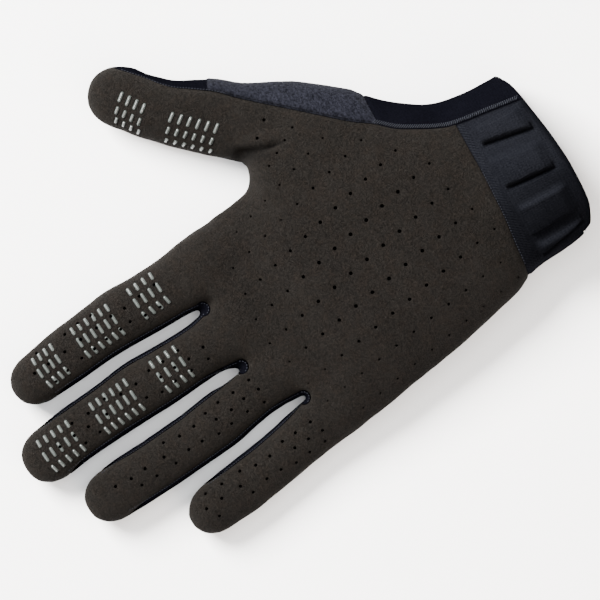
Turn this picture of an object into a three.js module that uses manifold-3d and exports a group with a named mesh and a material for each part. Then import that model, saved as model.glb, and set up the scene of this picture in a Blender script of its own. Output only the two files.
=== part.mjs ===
// A right-hand full-finger cycling glove, lying on its back with the palm up, in millimetres.
// +Y runs to the fingertips, +X to the thumb, +Z up out of the palm. The origin is on the
// surface that the glove lies on, under the middle of its outline.
// Every panel is cut from one hollow hand: lofted digits and palm, less the same lofts
// drawn in by the thickness of the cloth.

import * as THREE from 'three';
import { mergeVertices } from 'three/addons/utils/BufferGeometryUtils.js';
import Module from 'manifold-3d';

const wasm = await Module();
wasm.setup();

// Driving dimensions
const palmWidth = 92;
const palmLength = 90; // from the cuff seam to the root of the fingers
const palmThickness = 29;
const cuffLength = 31.7;
const cuffThickness = 34;
const handWall = 1.2;
const cuffWall = 2.4;
const seamGap = 0.3; // clear space between two panels along a seam
const seamShare = 0.42; // height of the side seams, as a share of the thickness there
const restPress = 0.6; // how far the cloth flattens where it lies
const fourchetteShow = 1.5; // width of a finger's side strip, seen from above
const fourchetteEnd = 0.9; // where a side strip ends, as a share of the finger's length
const crotchPatch = 2.6; // radius of the side strip where it turns between two fingers
const padRise = 1.3;
const padTop = 5.5; // from the cuff seam to the pads
const padLength = 20.5;
const padCorner = 1.6;
const wipeEnd = 0.524; // where the wipe panel ends, as a share of the thumb's length
const wipeStart = 0.256; // where it begins, as a share of the palm's length
const tallest = 80; // height of the tools that cut the panels apart
const holeRadius = 0.75;

const knuckleSeat = 0.3;

// Roundness of the cross sections: 2 is an ellipse, and more is squarer
const roundTop = 2.25;
const roundUnder = 3.2;
const roundTip = 2.3;

const bodySides = 24;
const digitSides = 12;
const hollowSides = 2 / 3; // sides of the hollow, as a share of the outside's
const holeSides = 5;
const tipSteps = [0.5, 0.84];

// The hand's body. at: share of palmLength past the cuff seam, negative on the cuff.
// left, right: edges either side of the hand's line. side: width of the side panel seen
// from above. All three are shares of palmWidth. deep: share of the thickness.
const body = [
  { at: -0.4, left: 0.262, right: 0.389, side: 0.13, deep: 1.0 },
  { at: -0.19, left: 0.309, right: 0.393, side: 0.115, deep: 1.0 },
  { at: -0.011, left: 0.34, right: 0.413, side: 0.106, deep: 0.95 },
  { at: 0.028, left: 0.361, right: 0.425, side: 0.105, deep: 1.08 },
  { at: 0.078, left: 0.386, right: 0.451, side: 0.104, deep: 1.07 },
  { at: 0.189, left: 0.41, right: 0.536, side: 0.112, deep: 1.05 },
  { at: 0.3, left: 0.438, right: 0.643, side: 0.14, deep: 1.03 },
  { at: 0.411, left: 0.465, right: 0.715, side: 0, deep: 1.0 },
  { at: 0.522, left: 0.485, right: 0.755, side: 0, deep: 0.97 },
  { at: 0.656, left: 0.509, right: 0.75, side: 0, deep: 0.93 },
  { at: 0.733, left: 0.524, right: 0.695, side: 0, deep: 0.89 },
  { at: 0.761, left: 0.528, right: 0.636, side: 0, deep: 0.87 },
  { at: 0.778, left: 0.532, right: 0.582, side: 0, deep: 0.86 },
  { at: 0.794, left: 0.534, right: 0.522, side: 0, deep: 0.85 },
  { at: 0.822, left: 0.538, right: 0.487, side: 0, deep: 0.84 },
  { at: 0.867, left: 0.543, right: 0.466, side: 0, deep: 0.79 },
  { at: 0.944, left: 0.554, right: 0.454, side: 0, deep: 0.72 },
  { at: 1.0, left: 0.562, right: 0.448, side: 0, deep: 0.66 },
];

// The cloth across the roots of the index, middle and ring fingers, with the same columns.
const knuckles = [
  { at: 0.9, left: 0.3, right: 0.43, deep: 0.62 },
  { at: 1.01, left: 0.33, right: 0.44, deep: 0.66 },
  { at: 1.1, left: 0.31, right: 0.43, deep: 0.63 },
  { at: 1.165, left: 0.29, right: 0.42, deep: 0.59 },
];

// The digits. root: where the line of the digit starts, as shares of palmWidth across and
// palmLength along. lean: degrees from +Y towards -X. tip: length of the rounded end.
// seat: how far the digit's underside stays above the palm's.
// In rows, at is a share of length, left, right and side of width, deep and lift of thickness.
const digits = {
  index: {
    root: { across: 0.32, along: 0.901 }, lean: 5.02, length: 102.3, width: 23, thickness: 17, tip: 11.5, seat: 0.05,
    rows: [
      { at: 0, left: 0.45, right: 0.45, deep: 1.1, lift: 0 },
      { at: 0.16, left: 0.57, right: 0.53, deep: 1.12, lift: 0 },
      { at: 0.264, left: 0.552, right: 0.509, deep: 1.04, lift: 0 },
      { at: 0.313, left: 0.509, right: 0.487, deep: 1.0, lift: 0 },
      { at: 0.43, left: 0.461, right: 0.483, deep: 0.98, lift: 0.01 },
      { at: 0.56, left: 0.413, right: 0.526, deep: 0.96, lift: 0.03 },
      { at: 0.74, left: 0.4, right: 0.478, deep: 0.9, lift: 0.08 },
      { at: 0.888, left: 0.4, right: 0.404, deep: 0.8, lift: 0.15 },
    ],
  },
  middle: {
    root: { across: 0.05, along: 0.901 }, lean: 5.18, length: 112.4, width: 22, thickness: 17.5, tip: 12.2, seat: 0.1,
    rows: [
      { at: 0, left: 0.45, right: 0.45, deep: 1.08, lift: 0 },
      { at: 0.14, left: 0.6, right: 0.6, deep: 1.09, lift: 0 },
      { at: 0.222, left: 0.577, right: 0.564, deep: 1.02, lift: 0 },
      { at: 0.285, left: 0.473, right: 0.459, deep: 0.98, lift: 0 },
      { at: 0.4, left: 0.462, right: 0.464, deep: 0.97, lift: 0.01 },
      { at: 0.55, left: 0.455, right: 0.523, deep: 0.96, lift: 0.03 },
      { at: 0.72, left: 0.434, right: 0.486, deep: 0.9, lift: 0.08 },
      { at: 0.891, left: 0.453, right: 0.443, deep: 0.8, lift: 0.16 },
    ],
  },
  ring: {
    root: { across: -0.201, along: 0.901 }, lean: 6.39, length: 99.5, width: 20.5, thickness: 17, tip: 11.2, seat: 0.15,
    rows: [
      { at: 0, left: 0.45, right: 0.45, deep: 1.1, lift: 0 },
      { at: 0.106, left: 0.551, right: 0.6, deep: 1.11, lift: 0 },
      { at: 0.165, left: 0.463, right: 0.6, deep: 1.08, lift: 0 },
      { at: 0.25, left: 0.454, right: 0.537, deep: 1.02, lift: 0 },
      { at: 0.32, left: 0.478, right: 0.478, deep: 0.99, lift: 0 },
      { at: 0.45, left: 0.532, right: 0.454, deep: 0.97, lift: 0.02 },
      { at: 0.68, left: 0.515, right: 0.434, deep: 0.92, lift: 0.07 },
      { at: 0.887, left: 0.468, right: 0.459, deep: 0.8, lift: 0.15 },
    ],
  },
  little: {
    root: { across: -0.408, along: 0.736 }, lean: 9.83, length: 84.5, width: 19.5, thickness: 16, tip: 12.5, seat: 0.2,
    rows: [
      { at: 0, left: 0.45, right: 0.45, deep: 1.2, lift: 0 },
      { at: 0.19, left: 0.536, right: 0.6, deep: 1.19, lift: 0 },
      { at: 0.303, left: 0.521, right: 0.549, deep: 1.1, lift: 0 },
      { at: 0.426, left: 0.51, right: 0.467, deep: 1.0, lift: 0.01 },
      { at: 0.6, left: 0.531, right: 0.433, deep: 0.94, lift: 0.04 },
      { at: 0.73, left: 0.538, right: 0.441, deep: 0.9, lift: 0.08 },
      { at: 0.852, left: 0.482, right: 0.441, deep: 0.84, lift: 0.13 },
    ],
  },
  thumb: {
    root: { across: 0.472, along: 0.439 }, lean: -41.54, length: 89.5, width: 27, thickness: 20, tip: 15.4, seat: 0.25,
    rows: [
      { at: 0, left: 0.42, right: 0.6, side: 0, deep: 1.2, lift: 0 },
      { at: 0.112, left: 0.5, right: 0.711, side: 0.37, deep: 1.2, lift: 0 },
      { at: 0.2, left: 0.52, right: 0.688, side: 0.33, deep: 1.16, lift: 0 },
      { at: 0.335, left: 0.5, right: 0.578, side: 0.24, deep: 1.06, lift: 0.02 },
      { at: 0.425, left: 0.49, right: 0.511, side: 0.21, deep: 1.0, lift: 0.05 },
      { at: 0.514, left: 0.5, right: 0.5, side: 0.2, deep: 0.96, lift: 0.08 },
      { at: 0.648, left: 0.489, right: 0.4, side: 0.11, deep: 0.9, lift: 0.12 },
      { at: 0.737, left: 0.474, right: 0.344, side: 0.05, deep: 0.86, lift: 0.15 },
      { at: 0.832, left: 0.45, right: 0.41, side: 0.045, deep: 0.8, lift: 0.18 },
    ],
  },
};

// The seam between the palm and the cuff, and the cuff's hem: across as a share of palmWidth,
// along as a share of palmLength and of cuffLength.
const cuffSeam = [
  { across: -0.6, along: 0.01 }, { across: -0.31, along: 0.008 }, { across: -0.15, along: -0.008 },
  { across: 0.02, along: -0.016 }, { across: 0.16, along: -0.02 }, { across: 0.6, along: -0.008 },
];
const hem = [
  { across: -0.6, along: -0.67 }, { across: -0.31, along: -0.72 }, { across: -0.286, along: -0.86 },
  { across: -0.23, along: -0.962 }, { across: -0.13, along: -0.997 }, { across: -0.04, along: -1 },
  { across: 0.09, along: -0.972 }, { across: 0.22, along: -0.915 }, { across: 0.33, along: -0.85 },
  { across: 0.375, along: -0.8 }, { across: 0.395, along: -0.72 }, { across: 0.6, along: -0.67 },
];

// The inner edge of the thumb's panels under the hand, as shares of palmWidth and palmLength.
const backSeam = [
  { across: 0.555, along: 1.4 }, { across: 0.555, along: 0.76 }, { across: 0.5, along: 0.52 },
  { across: 0.43, along: 0.27 }, { across: 0.33, along: 0.06 }, { across: 0.3, along: -0.08 },
  { across: 0.264, along: -0.42 },
];

// The moulded pads of the cuff: edges at their upper end, as shares of palmWidth, and how far
// each edge runs towards -X over the pad's length, as shares of padLength.
const pads = [
  { left: -0.42, right: -0.322, leanLeft: 0, leanRight: -0.25 },
  { left: -0.25, right: -0.078, leanLeft: -0.07, leanRight: 0 },
  { left: -0.002, right: 0.13, leanLeft: 0.12, leanRight: 0.08 },
  { left: 0.19, right: 0.262, leanLeft: 0.18, leanRight: 0.1 },
];

// The rows of holes in the palm, from the fingers to the wrist, as shares of palmWidth and
// palmLength.
const holeRows = [
  { across: -0.483, along: 0.84, acrossEnd: -0.325, alongEnd: 0.056, count: 10 },
  { across: -0.391, along: 0.958, acrossEnd: -0.243, alongEnd: 0.087, count: 11 },
  { across: -0.293, along: 0.987, acrossEnd: -0.117, alongEnd: 0.047, count: 12 },
  { across: -0.183, along: 1.013, acrossEnd: -0.007, alongEnd: 0.082, count: 12 },
  { across: -0.085, along: 1.047, acrossEnd: 0.104, alongEnd: 0.129, count: 12 },
  { across: 0.026, along: 1.047, acrossEnd: 0.229, alongEnd: 0.142, count: 12 },
  { across: 0.13, along: 1.036, acrossEnd: 0.337, alongEnd: 0.236, count: 11 },
  { across: 0.245, along: 1.027, acrossEnd: 0.437, alongEnd: 0.336, count: 9 },
  { across: 0.359, along: 0.947, acrossEnd: 0.513, alongEnd: 0.469, count: 7 },
  { across: 0.52, along: 0.704, acrossEnd: 0.607, alongEnd: 0.547, count: 4 },
  { across: 0.635, along: 0.693, acrossEnd: 0.685, alongEnd: 0.633, count: 2 },
];

const up = new THREE.Vector3(0, 0, 1);
const { lerp, degToRad } = THREE.MathUtils;

// A column of a table at a place between two of its rows.
function between(rows, at, column) {
  const next = rows.findIndex((row) => row.at >= at);
  if (next < 0) return rows[rows.length - 1][column];
  if (next === 0) return rows[0][column];
  const share = (at - rows[next - 1].at) / (rows[next].at - rows[next - 1].at);
  return lerp(rows[next - 1][column], rows[next][column], share);
}

// Places halfway between the rows of a table, where a cut passes clear of the sections.
function halfway(rows) {
  return rows.slice(1).map((row, i) => (row.at + rows[i].at) / 2);
}

// A point in plan from shares of the palm's width and length.
function palmPoint({ across, along }) {
  return new THREE.Vector2(across * palmWidth, along * palmLength);
}

function thicknessAt(at) {
  return at < 0 ? cuffThickness : palmThickness;
}

// One ring of points round a cross section, kept above the floor that the cloth lies on.
function ring({ centre, across, halfWidth, halfDeep, floor }, sides) {
  const points = [];
  for (let i = 0; i < sides; i++) {
    const angle = (i / sides) * 2 * Math.PI;
    const [c, s] = [Math.cos(angle), Math.sin(angle)];
    const power = 2 / (s > 0 ? roundTop : roundUnder);
    const sideways = Math.sign(c) * Math.abs(c) ** power * halfWidth;
    const upward = Math.sign(s) * Math.abs(s) ** power * halfDeep;
    const point = centre.clone().addScaledVector(across, sideways).addScaledVector(up, upward);
    point.z = Math.max(point.z, floor);
    points.push(point);
  }
  return points;
}

// A closed skin through sections that follow one another. Each end closes on a middle point.
function loft(sections, sides) {
  const rings = sections.map((section) => ring(section, sides));
  const middles = [sections[0].centre, sections[sections.length - 1].centre];
  if (sections[sections.length - 1].tip) middles[1] = sections[sections.length - 1].tip;
  const positions = [...rings.flat(), ...middles].flatMap((point) => point.toArray());
  const indices = [];
  const [first, last] = [rings.length * sides, rings.length * sides + 1];
  for (let r = 0; r < rings.length; r++) {
    for (let i = 0; i < sides; i++) {
      const [a, b] = [r * sides + i, r * sides + ((i + 1) % sides)];
      if (r === 0) indices.push(first, a, b);
      if (r === rings.length - 1) indices.push(last, b, a);
      else indices.push(a, a + sides, b, b, a + sides, b + sides);
    }
  }
  const geometry = new THREE.BufferGeometry();
  geometry.setAttribute('position', new THREE.Float32BufferAttribute(positions, 3));
  geometry.setIndex(indices);
  return geometry;
}

// Sections of the hand's body, drawn in by the wall for its hollow.
function bodySections(rows, inset, seat = 0) {
  return rows.map((row) => {
    const wall = inset * (row.at < 0 ? cuffWall : handWall);
    const halfDeep = (row.deep * thicknessAt(row.at)) / 2;
    const middle = ((row.right - row.left) / 2) * palmWidth;
    return {
      centre: new THREE.Vector3(middle, row.at * palmLength, halfDeep - restPress),
      across: new THREE.Vector3(1, 0, 0),
      halfWidth: ((row.right + row.left) / 2) * palmWidth - wall,
      halfDeep: halfDeep - wall,
      floor: wall + seat,
    };
  });
}

function digitFrame({ root, lean }) {
  const angle = degToRad(lean);
  const start = palmPoint(root);
  return {
    start: new THREE.Vector3(start.x, start.y, 0),
    way: new THREE.Vector3(-Math.sin(angle), Math.cos(angle), 0),
    across: new THREE.Vector3(Math.cos(angle), Math.sin(angle), 0),
  };
}

// Sections of a digit from its root to its shoulder, then rings that close its round tip.
function digitSections(digit, inset) {
  const { start, way, across } = digitFrame(digit);
  const wall = inset * handWall;
  const sections = digit.rows.map((row) => {
    const halfDeep = (row.deep * digit.thickness) / 2;
    const lift = row.lift * digit.thickness;
    const centre = start.clone().addScaledVector(way, row.at * digit.length);
    centre.addScaledVector(across, ((row.right - row.left) / 2) * digit.width);
    centre.z = lift + halfDeep - restPress;
    const halfWidth = ((row.right + row.left) / 2) * digit.width - wall;
    return { centre, across, halfWidth, halfDeep: halfDeep - wall, floor: wall + digit.seat };
  });
  const shoulder = sections[sections.length - 1];
  const reach = digit.tip - wall;
  for (const step of tipSteps) {
    const round = (1 - step ** roundTip) ** (1 / roundTip);
    sections.push({
      ...shoulder,
      centre: shoulder.centre.clone().addScaledVector(way, step * reach),
      halfWidth: shoulder.halfWidth * round,
      halfDeep: shoulder.halfDeep * round,
    });
  }
  sections[sections.length - 1].tip = shoulder.centre.clone().addScaledVector(way, reach);
  return sections;
}

// The edge of a digit in plan, moved inwards by inset. side is -1 for left and 1 for right.
function digitEdge(digit, at, side, inset) {
  const { start, way, across } = digitFrame(digit);
  const half = between(digit.rows, at, side < 0 ? 'left' : 'right') * digit.width;
  const point = start.clone().addScaledVector(way, at * digit.length);
  point.addScaledVector(across, side * (half - inset));
  return new THREE.Vector2(point.x, point.y);
}

function solid(geometry) {
  const bare = geometry.clone();
  bare.deleteAttribute('normal');
  bare.deleteAttribute('uv');
  const merged = mergeVertices(bare, 1e-4);
  return new wasm.Manifold(new wasm.Mesh({
    numProp: 3,
    vertProperties: Float32Array.from(merged.attributes.position.array),
    triVerts: Uint32Array.from(merged.index.array),
  }));
}

function union(solids) {
  return solids.reduce((whole, next) => whole.add(next));
}

// An upright prism over an outline in plan.
function prism(points, low = -tallest, high = tallest) {
  const shape = new THREE.Shape(points);
  const geometry = new THREE.ExtrudeGeometry(shape, { depth: high - low, bevelEnabled: false });
  return solid(geometry.translate(0, 0, low));
}

// Everything above the side seams, whose height follows the thickness along the hand.
function aboveSeams(grow) {
  const { middle } = digits;
  const rootAt = middle.root.along;
  const line = halfway(body).map((at) => [
    at * palmLength, between(body, at, 'deep') * thicknessAt(at) * seamShare,
  ]);
  for (const at of halfway(middle.rows).slice(2)) {
    const along = rootAt * palmLength + at * middle.length * Math.cos(degToRad(middle.lean));
    const share = between(middle.rows, at, 'deep') * seamShare + between(middle.rows, at, 'lift');
    line.push([along, share * middle.thickness]);
  }
  const [firstPoint, lastPoint] = [line[0], line[line.length - 1]];
  const points = line.map(([y, z]) => new THREE.Vector2(y, z - grow));
  points.push(new THREE.Vector2(lastPoint[0] + tallest, lastPoint[1] - grow));
  points.push(new THREE.Vector2(lastPoint[0] + tallest, tallest));
  points.push(new THREE.Vector2(firstPoint[0] - tallest, tallest));
  points.push(new THREE.Vector2(firstPoint[0] - tallest, firstPoint[1] - grow));
  const span = 4 * palmWidth;
  const geometry = new THREE.ExtrudeGeometry(new THREE.Shape(points), { depth: span, bevelEnabled: false });
  const turn = new THREE.Matrix4().makeBasis(
    new THREE.Vector3(0, 1, 0), up, new THREE.Vector3(1, 0, 0),
  );
  geometry.applyMatrix4(turn).translate(-span / 2, 0, 0);
  return solid(geometry);
}

// The strip of cloth along one side of a finger, from below its crotch to near its tip.
function sideStrip(digit, side, from, grow) {
  const steps = 10;
  const [inner, outer] = [[], []];
  for (let i = 0; i <= steps; i++) {
    const at = lerp(from, fourchetteEnd, i / steps);
    inner.push(digitEdge(digit, at, side, fourchetteShow + grow));
    outer.push(digitEdge(digit, at, side, -fourchetteShow));
  }
  return prism([...inner, ...outer.reverse()]);
}

// Where the edges of two neighbouring fingers meet, found by halving.
function crotch(left, right) {
  let [low, high] = [0, 0.5];
  for (let i = 0; i < 30; i++) {
    const at = (low + high) / 2;
    const point = digitEdge(right, at, -1, 0);
    const { start, way, across } = digitFrame(left);
    const offset = new THREE.Vector3(point.x, point.y, 0).sub(start);
    const alongLeft = offset.dot(way) / left.length;
    const isInside = offset.dot(across) < between(left.rows, alongLeft, 'right') * left.width;
    if (isInside) low = at;
    else high = at;
  }
  return { point: digitEdge(right, low, -1, 0), at: low };
}

// The fourchette: two side strips that turn into each other round the crotch.
function fourchetteRegion(left, right, grow) {
  const { point, at } = crotch(left, right);
  const { start, way } = digitFrame(left);
  const leftAt = new THREE.Vector3(point.x, point.y, 0).sub(start).dot(way) / left.length;
  const turn = new THREE.Shape();
  turn.absellipse(point.x, point.y, crotchPatch + grow, crotchPatch + grow, 0, 2 * Math.PI);
  return union([
    sideStrip(left, 1, leftAt, grow),
    sideStrip(right, -1, at, grow),
    prism(turn.getPoints(4).slice(0, -1)),
  ]);
}

// The side of the hand from the hem to the thumb's tip, above and below the seams.
function sideRegion(grow) {
  const { thumb } = digits;
  const seam = halfway(body.filter((row) => row.side > 0)).map((at) => new THREE.Vector2(
    (between(body, at, 'right') - between(body, at, 'side')) * palmWidth - grow, at * palmLength,
  ));
  seam.unshift(new THREE.Vector2(seam[0].x, -palmLength));
  for (const at of halfway(thumb.rows.filter((row) => row.side > 0))) {
    seam.push(digitEdge(thumb, at, 1, between(thumb.rows, at, 'side') * thumb.width + grow));
  }
  seam.push(digitEdge(thumb, 1, 1, -handWall));
  const far = [digitEdge(thumb, 1, 1, -palmWidth), new THREE.Vector2(2 * palmWidth, -palmLength)];
  const top = prism([...seam, ...far]);
  const under = backSeam.map((row) => palmPoint(row).add(new THREE.Vector2(-grow, 0)));
  under.reverse();
  under.push(new THREE.Vector2(2 * palmWidth, 2 * palmLength), new THREE.Vector2(2 * palmWidth, -palmLength));
  return top.add(prism(under).subtract(aboveSeams(-grow)));
}

// Everything on the wrist's side of a line across the hand.
function beforeLine(line, grow) {
  const points = line.map((point) => new THREE.Vector2(point.x, point.y + grow));
  points.push(new THREE.Vector2(2 * palmWidth, -3 * palmLength), new THREE.Vector2(-2 * palmWidth, -3 * palmLength));
  return prism(points);
}

function cuffRegion(grow) {
  return beforeLine([
    new THREE.Vector2(-2 * palmWidth, 0), ...cuffSeam.map(palmPoint), new THREE.Vector2(2 * palmWidth, 0),
  ], grow);
}

function wristRegion(grow) {
  const y = wipeStart * palmLength;
  return beforeLine([new THREE.Vector2(-2 * palmWidth, y), new THREE.Vector2(2 * palmWidth, y)], grow);
}

// The end of the thumb, past the wipe panel.
function thumbEndRegion(grow) {
  const { thumb } = digits;
  const { start, way, across } = digitFrame(thumb);
  const corner = (along, sideways) => {
    const point = start.clone().addScaledVector(way, along).addScaledVector(across, sideways);
    return new THREE.Vector2(point.x, point.y);
  };
  const near = wipeEnd * thumb.length - grow;
  const [far, reach] = [2 * thumb.length, 2 * thumb.width];
  return prism([corner(near, -reach), corner(near, reach), corner(far, reach), corner(far, -reach)]);
}

// One moulded pad's outline in plan, with its corners cut.
function padOutline(pad) {
  const top = -padTop;
  const bottom = top - padLength;
  const [x0, x1] = [pad.left * palmWidth, pad.right * palmWidth];
  const [x2, x3] = [x1 - pad.leanRight * padLength, x0 - pad.leanLeft * padLength];
  const c = padCorner;
  return [
    [x3 + c, bottom], [x2 - c, bottom], [x2, bottom + c], [x1, top - c], [x1 - c, top],
    [x0 + c, top], [x0, top - c], [x3, bottom + c],
  ].map(([x, y]) => new THREE.Vector2(x, y));
}

// Pins that cut the palm's holes.
function holePins() {
  const pins = [];
  for (const row of holeRows) {
    for (let i = 0; i < row.count; i++) {
      const share = i / (row.count - 1);
      const { x, y } = palmPoint({
        across: lerp(row.across, row.acrossEnd, share), along: lerp(row.along, row.alongEnd, share),
      });
      const pin = new THREE.CylinderGeometry(holeRadius, holeRadius, tallest, holeSides);
      pins.push(solid(pin.rotateX(Math.PI / 2).translate(x, y, tallest / 2)));
    }
  }
  return union(pins);
}

// The whole hand as lofts: inset 0 is its outside and 1 its hollow.
function handForm(inset) {
  const fewer = lerp(1, hollowSides, inset);
  const [wide, slim] = [bodySides * fewer, digitSides * fewer];
  return union([
    solid(loft(bodySections(body, inset), wide)),
    solid(loft(bodySections(knuckles, inset, knuckleSeat), slim)),
    ...Object.values(digits).map((digit) => solid(loft(digitSections(digit, inset), slim))),
  ]);
}

// Takes a region out of what is left, and leaves the seam's gap beside it.
function take(rest, region) {
  return [rest.intersect(region(0)), rest.subtract(region(seamGap))];
}

function hollowHand() {
  const beyondHem = beforeLine([
    ...hem.map(({ across, along }) => new THREE.Vector2(across * palmWidth, along * cuffLength)),
  ], 0);
  const hollow = handForm(1);
  const mouth = bodySections(body.slice(0, 1), 1)[0];
  const mouthEnd = { ...mouth, centre: mouth.centre.clone().add(new THREE.Vector3(0, -cuffLength, 0)) };
  const opening = solid(loft([mouthEnd, mouth], bodySides * hollowSides));
  return { shell: handForm(0).subtract(hollow).subtract(opening).subtract(beyondHem), hollow };
}

// The pads stand on the cuff: the cuff's own form, grown outwards under each pad's outline.
function raisedPads(hollow) {
  const grown = solid(loft(bodySections(body.slice(0, 3), -padRise / cuffWall), bodySides));
  const outlines = union(pads.map((pad) => prism(padOutline(pad))));
  return grown.intersect(outlines).intersect(aboveSeams(-seamGap)).subtract(hollow);
}

const colours = {
  suede: { color: 0x2b2622, roughness: 0.95 },
  stretch: { color: 0x14151d, roughness: 0.8 },
  terry: { color: 0x30333f, roughness: 1 },
  moulded: { color: 0x1d2029, roughness: 0.85 },
};
const glove = new THREE.Group();

// Gives a solid its name and colour. Crumbs that a cut leaves beside the panel are dropped.
function addPanel(name, whole, look) {
  const pieces = whole.decompose().sort((a, b) => b.volume() - a.volume());
  const mesh = pieces[0].getMesh();
  const geometry = new THREE.BufferGeometry();
  geometry.setAttribute('position', new THREE.BufferAttribute(mesh.vertProperties, 3));
  geometry.setIndex(new THREE.BufferAttribute(mesh.triVerts, 1));
  geometry.computeVertexNormals();
  const panel = new THREE.Mesh(geometry, new THREE.MeshStandardMaterial({ ...colours[look], metalness: 0 }));
  panel.name = name;
  glove.add(panel);
}

const { shell, hollow } = hollowHand();
let rest = shell;
let panel;
const neighbours = [['little', 'ring'], ['ring', 'middle'], ['middle', 'index']];
for (const [left, right] of neighbours) {
  [panel, rest] = take(rest, (grow) => fourchetteRegion(digits[left], digits[right], grow));
  addPanel(`fourchette_${left}_${right}`, panel, 'stretch');
}

let side;
[side, rest] = take(rest, sideRegion);
[panel, side] = take(side, thumbEndRegion);
addPanel('thumb_back', panel, 'stretch');
[panel, side] = take(side, wristRegion);
addPanel('wrist_side', panel, 'stretch');
addPanel('thumb_wipe', side, 'terry');

let [top, under] = take(rest, aboveSeams);
[panel, top] = take(top, cuffRegion);
addPanel('cuff_palm', panel.add(raisedPads(hollow)), 'moulded');
addPanel('palm', top.subtract(holePins()), 'suede');
[panel, under] = take(under, cuffRegion);
addPanel('cuff_back', panel, 'stretch');
addPanel('back', under, 'stretch');

const box = new THREE.Box3().setFromObject(glove);
const middle = box.getCenter(new THREE.Vector3());
glove.position.set(-middle.x, -middle.y, -box.min.z);

export default glove;
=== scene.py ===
import math

import bmesh
import bpy
import numpy as np
from mathutils import Matrix, Vector, noise
from mathutils.bvhtree import BVHTree
from mathutils.kdtree import KDTree


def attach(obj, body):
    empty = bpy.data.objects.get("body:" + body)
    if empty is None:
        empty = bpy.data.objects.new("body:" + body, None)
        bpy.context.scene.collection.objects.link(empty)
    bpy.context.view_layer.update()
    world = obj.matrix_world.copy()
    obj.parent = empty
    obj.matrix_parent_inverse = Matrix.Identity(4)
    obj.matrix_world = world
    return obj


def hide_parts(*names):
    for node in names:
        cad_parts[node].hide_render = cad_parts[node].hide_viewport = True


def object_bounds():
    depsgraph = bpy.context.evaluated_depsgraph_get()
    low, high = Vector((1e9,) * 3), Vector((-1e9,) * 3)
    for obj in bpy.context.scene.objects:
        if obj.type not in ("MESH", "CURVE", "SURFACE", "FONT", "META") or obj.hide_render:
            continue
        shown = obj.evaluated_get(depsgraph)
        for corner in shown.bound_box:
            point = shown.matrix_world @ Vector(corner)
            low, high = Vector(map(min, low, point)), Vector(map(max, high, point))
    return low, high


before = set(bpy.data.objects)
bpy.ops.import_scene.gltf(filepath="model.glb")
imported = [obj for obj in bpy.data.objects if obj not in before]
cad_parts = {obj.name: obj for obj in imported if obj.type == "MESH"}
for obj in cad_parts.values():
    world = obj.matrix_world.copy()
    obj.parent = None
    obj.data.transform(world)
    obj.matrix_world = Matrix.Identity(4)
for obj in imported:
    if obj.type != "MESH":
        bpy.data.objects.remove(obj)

# The glove is drawn in millimetres, X to the thumb, Y to the fingertips and Z up out of the palm,
# from the point where the cuff's seam passes under the middle finger.
mm = 0.001
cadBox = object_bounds()
drawnMiddle = Vector((23.51, 80.63, 0.0))  # the middle of the drawn outline
frameMiddle = Vector(((cadBox[0].x + cadBox[1].x) / 2, (cadBox[0].y + cadBox[1].y) / 2, 0.0))


def place(x, y, z=0.0):
    return (Vector((x, y, z)) - drawnMiddle) * mm + frameMiddle


def deselectAll():
    for item in bpy.context.selected_objects:
        item.select_set(False)


def choose(*items):
    deselectAll()
    for item in items:
        item.select_set(True)
    bpy.context.view_layer.objects.active = items[0]


def applyModifier(item, kind, **settings):
    choose(item)
    modifier = item.modifiers.new(kind.title(), kind)
    for key, value in settings.items():
        setattr(modifier, key, value)
    bpy.ops.object.modifier_apply(modifier=modifier.name)


def joinAll(items, name):
    choose(*items)
    if len(items) > 1:
        bpy.ops.object.join()
    joined = bpy.context.view_layer.objects.active
    joined.name = name
    joined.data.name = name
    return joined


def meshObject(name, points, faces):
    data = bpy.data.meshes.new(name)
    data.from_pydata([tuple(point) for point in points], [], faces)
    item = bpy.data.objects.new(name, data)
    bpy.context.scene.collection.objects.link(item)
    return item


def copyOf(item, name):
    twin = item.copy()
    twin.data = item.data.copy()
    twin.name = name
    twin.data.name = name
    bpy.context.scene.collection.objects.link(twin)
    return twin


def remove(*items):
    for item in items:
        data = item.data
        bpy.data.objects.remove(item)
        bpy.data.meshes.remove(data)


def readPoints(item):
    points = np.empty(len(item.data.vertices) * 3)
    item.data.vertices.foreach_get("co", points)
    return points.reshape(-1, 3)


def readNormals(item):
    normals = np.empty(len(item.data.vertices) * 3)
    item.data.vertex_normals.foreach_get("vector", normals)
    return normals.reshape(-1, 3)


def writePoints(item, points):
    item.data.vertices.foreach_set("co", points.ravel())
    item.data.update()


def nearTree(points, indices):
    tree = KDTree(len(indices))
    for i in indices:
        tree.insert(points[i], i)
    tree.balance()
    return tree


def treeOf(item):
    item.data.calc_loop_triangles()
    triangles = [tuple(triangle.vertices) for triangle in item.data.loop_triangles]
    return BVHTree.FromPolygons([vertex.co for vertex in item.data.vertices], triangles)


# A curve through rows of numbers that doesn't overshoot between them.
def glide(x, y, places):
    run = np.diff(x)
    slope = np.diff(y) / run
    tangent = np.zeros(len(x))
    tangent[0] = slope[0]
    tangent[-1] = slope[-1]
    for i in range(1, len(x) - 1):
        if slope[i - 1] * slope[i] > 0:
            first = 2 * run[i] + run[i - 1]
            second = run[i] + 2 * run[i - 1]
            tangent[i] = (first + second) / (first / slope[i - 1] + second / slope[i])
    i = np.clip(np.searchsorted(x, places) - 1, 0, len(x) - 2)
    t = (places - x[i]) / run[i]
    t = np.clip(t, 0, 1)
    return (
        (2 * t**3 - 3 * t**2 + 1) * y[i] + (t**3 - 2 * t**2 + t) * run[i] * tangent[i]
        + (3 * t**2 - 2 * t**3) * y[i + 1] + (t**3 - t**2) * run[i] * tangent[i + 1]
    )


# One column of a table of rows, read at places along its line
def readOff(rows, key, places):
    table = np.array(rows, float)
    return glide(table[:, 0], table[:, rowKeys.index(key)], places)


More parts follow.
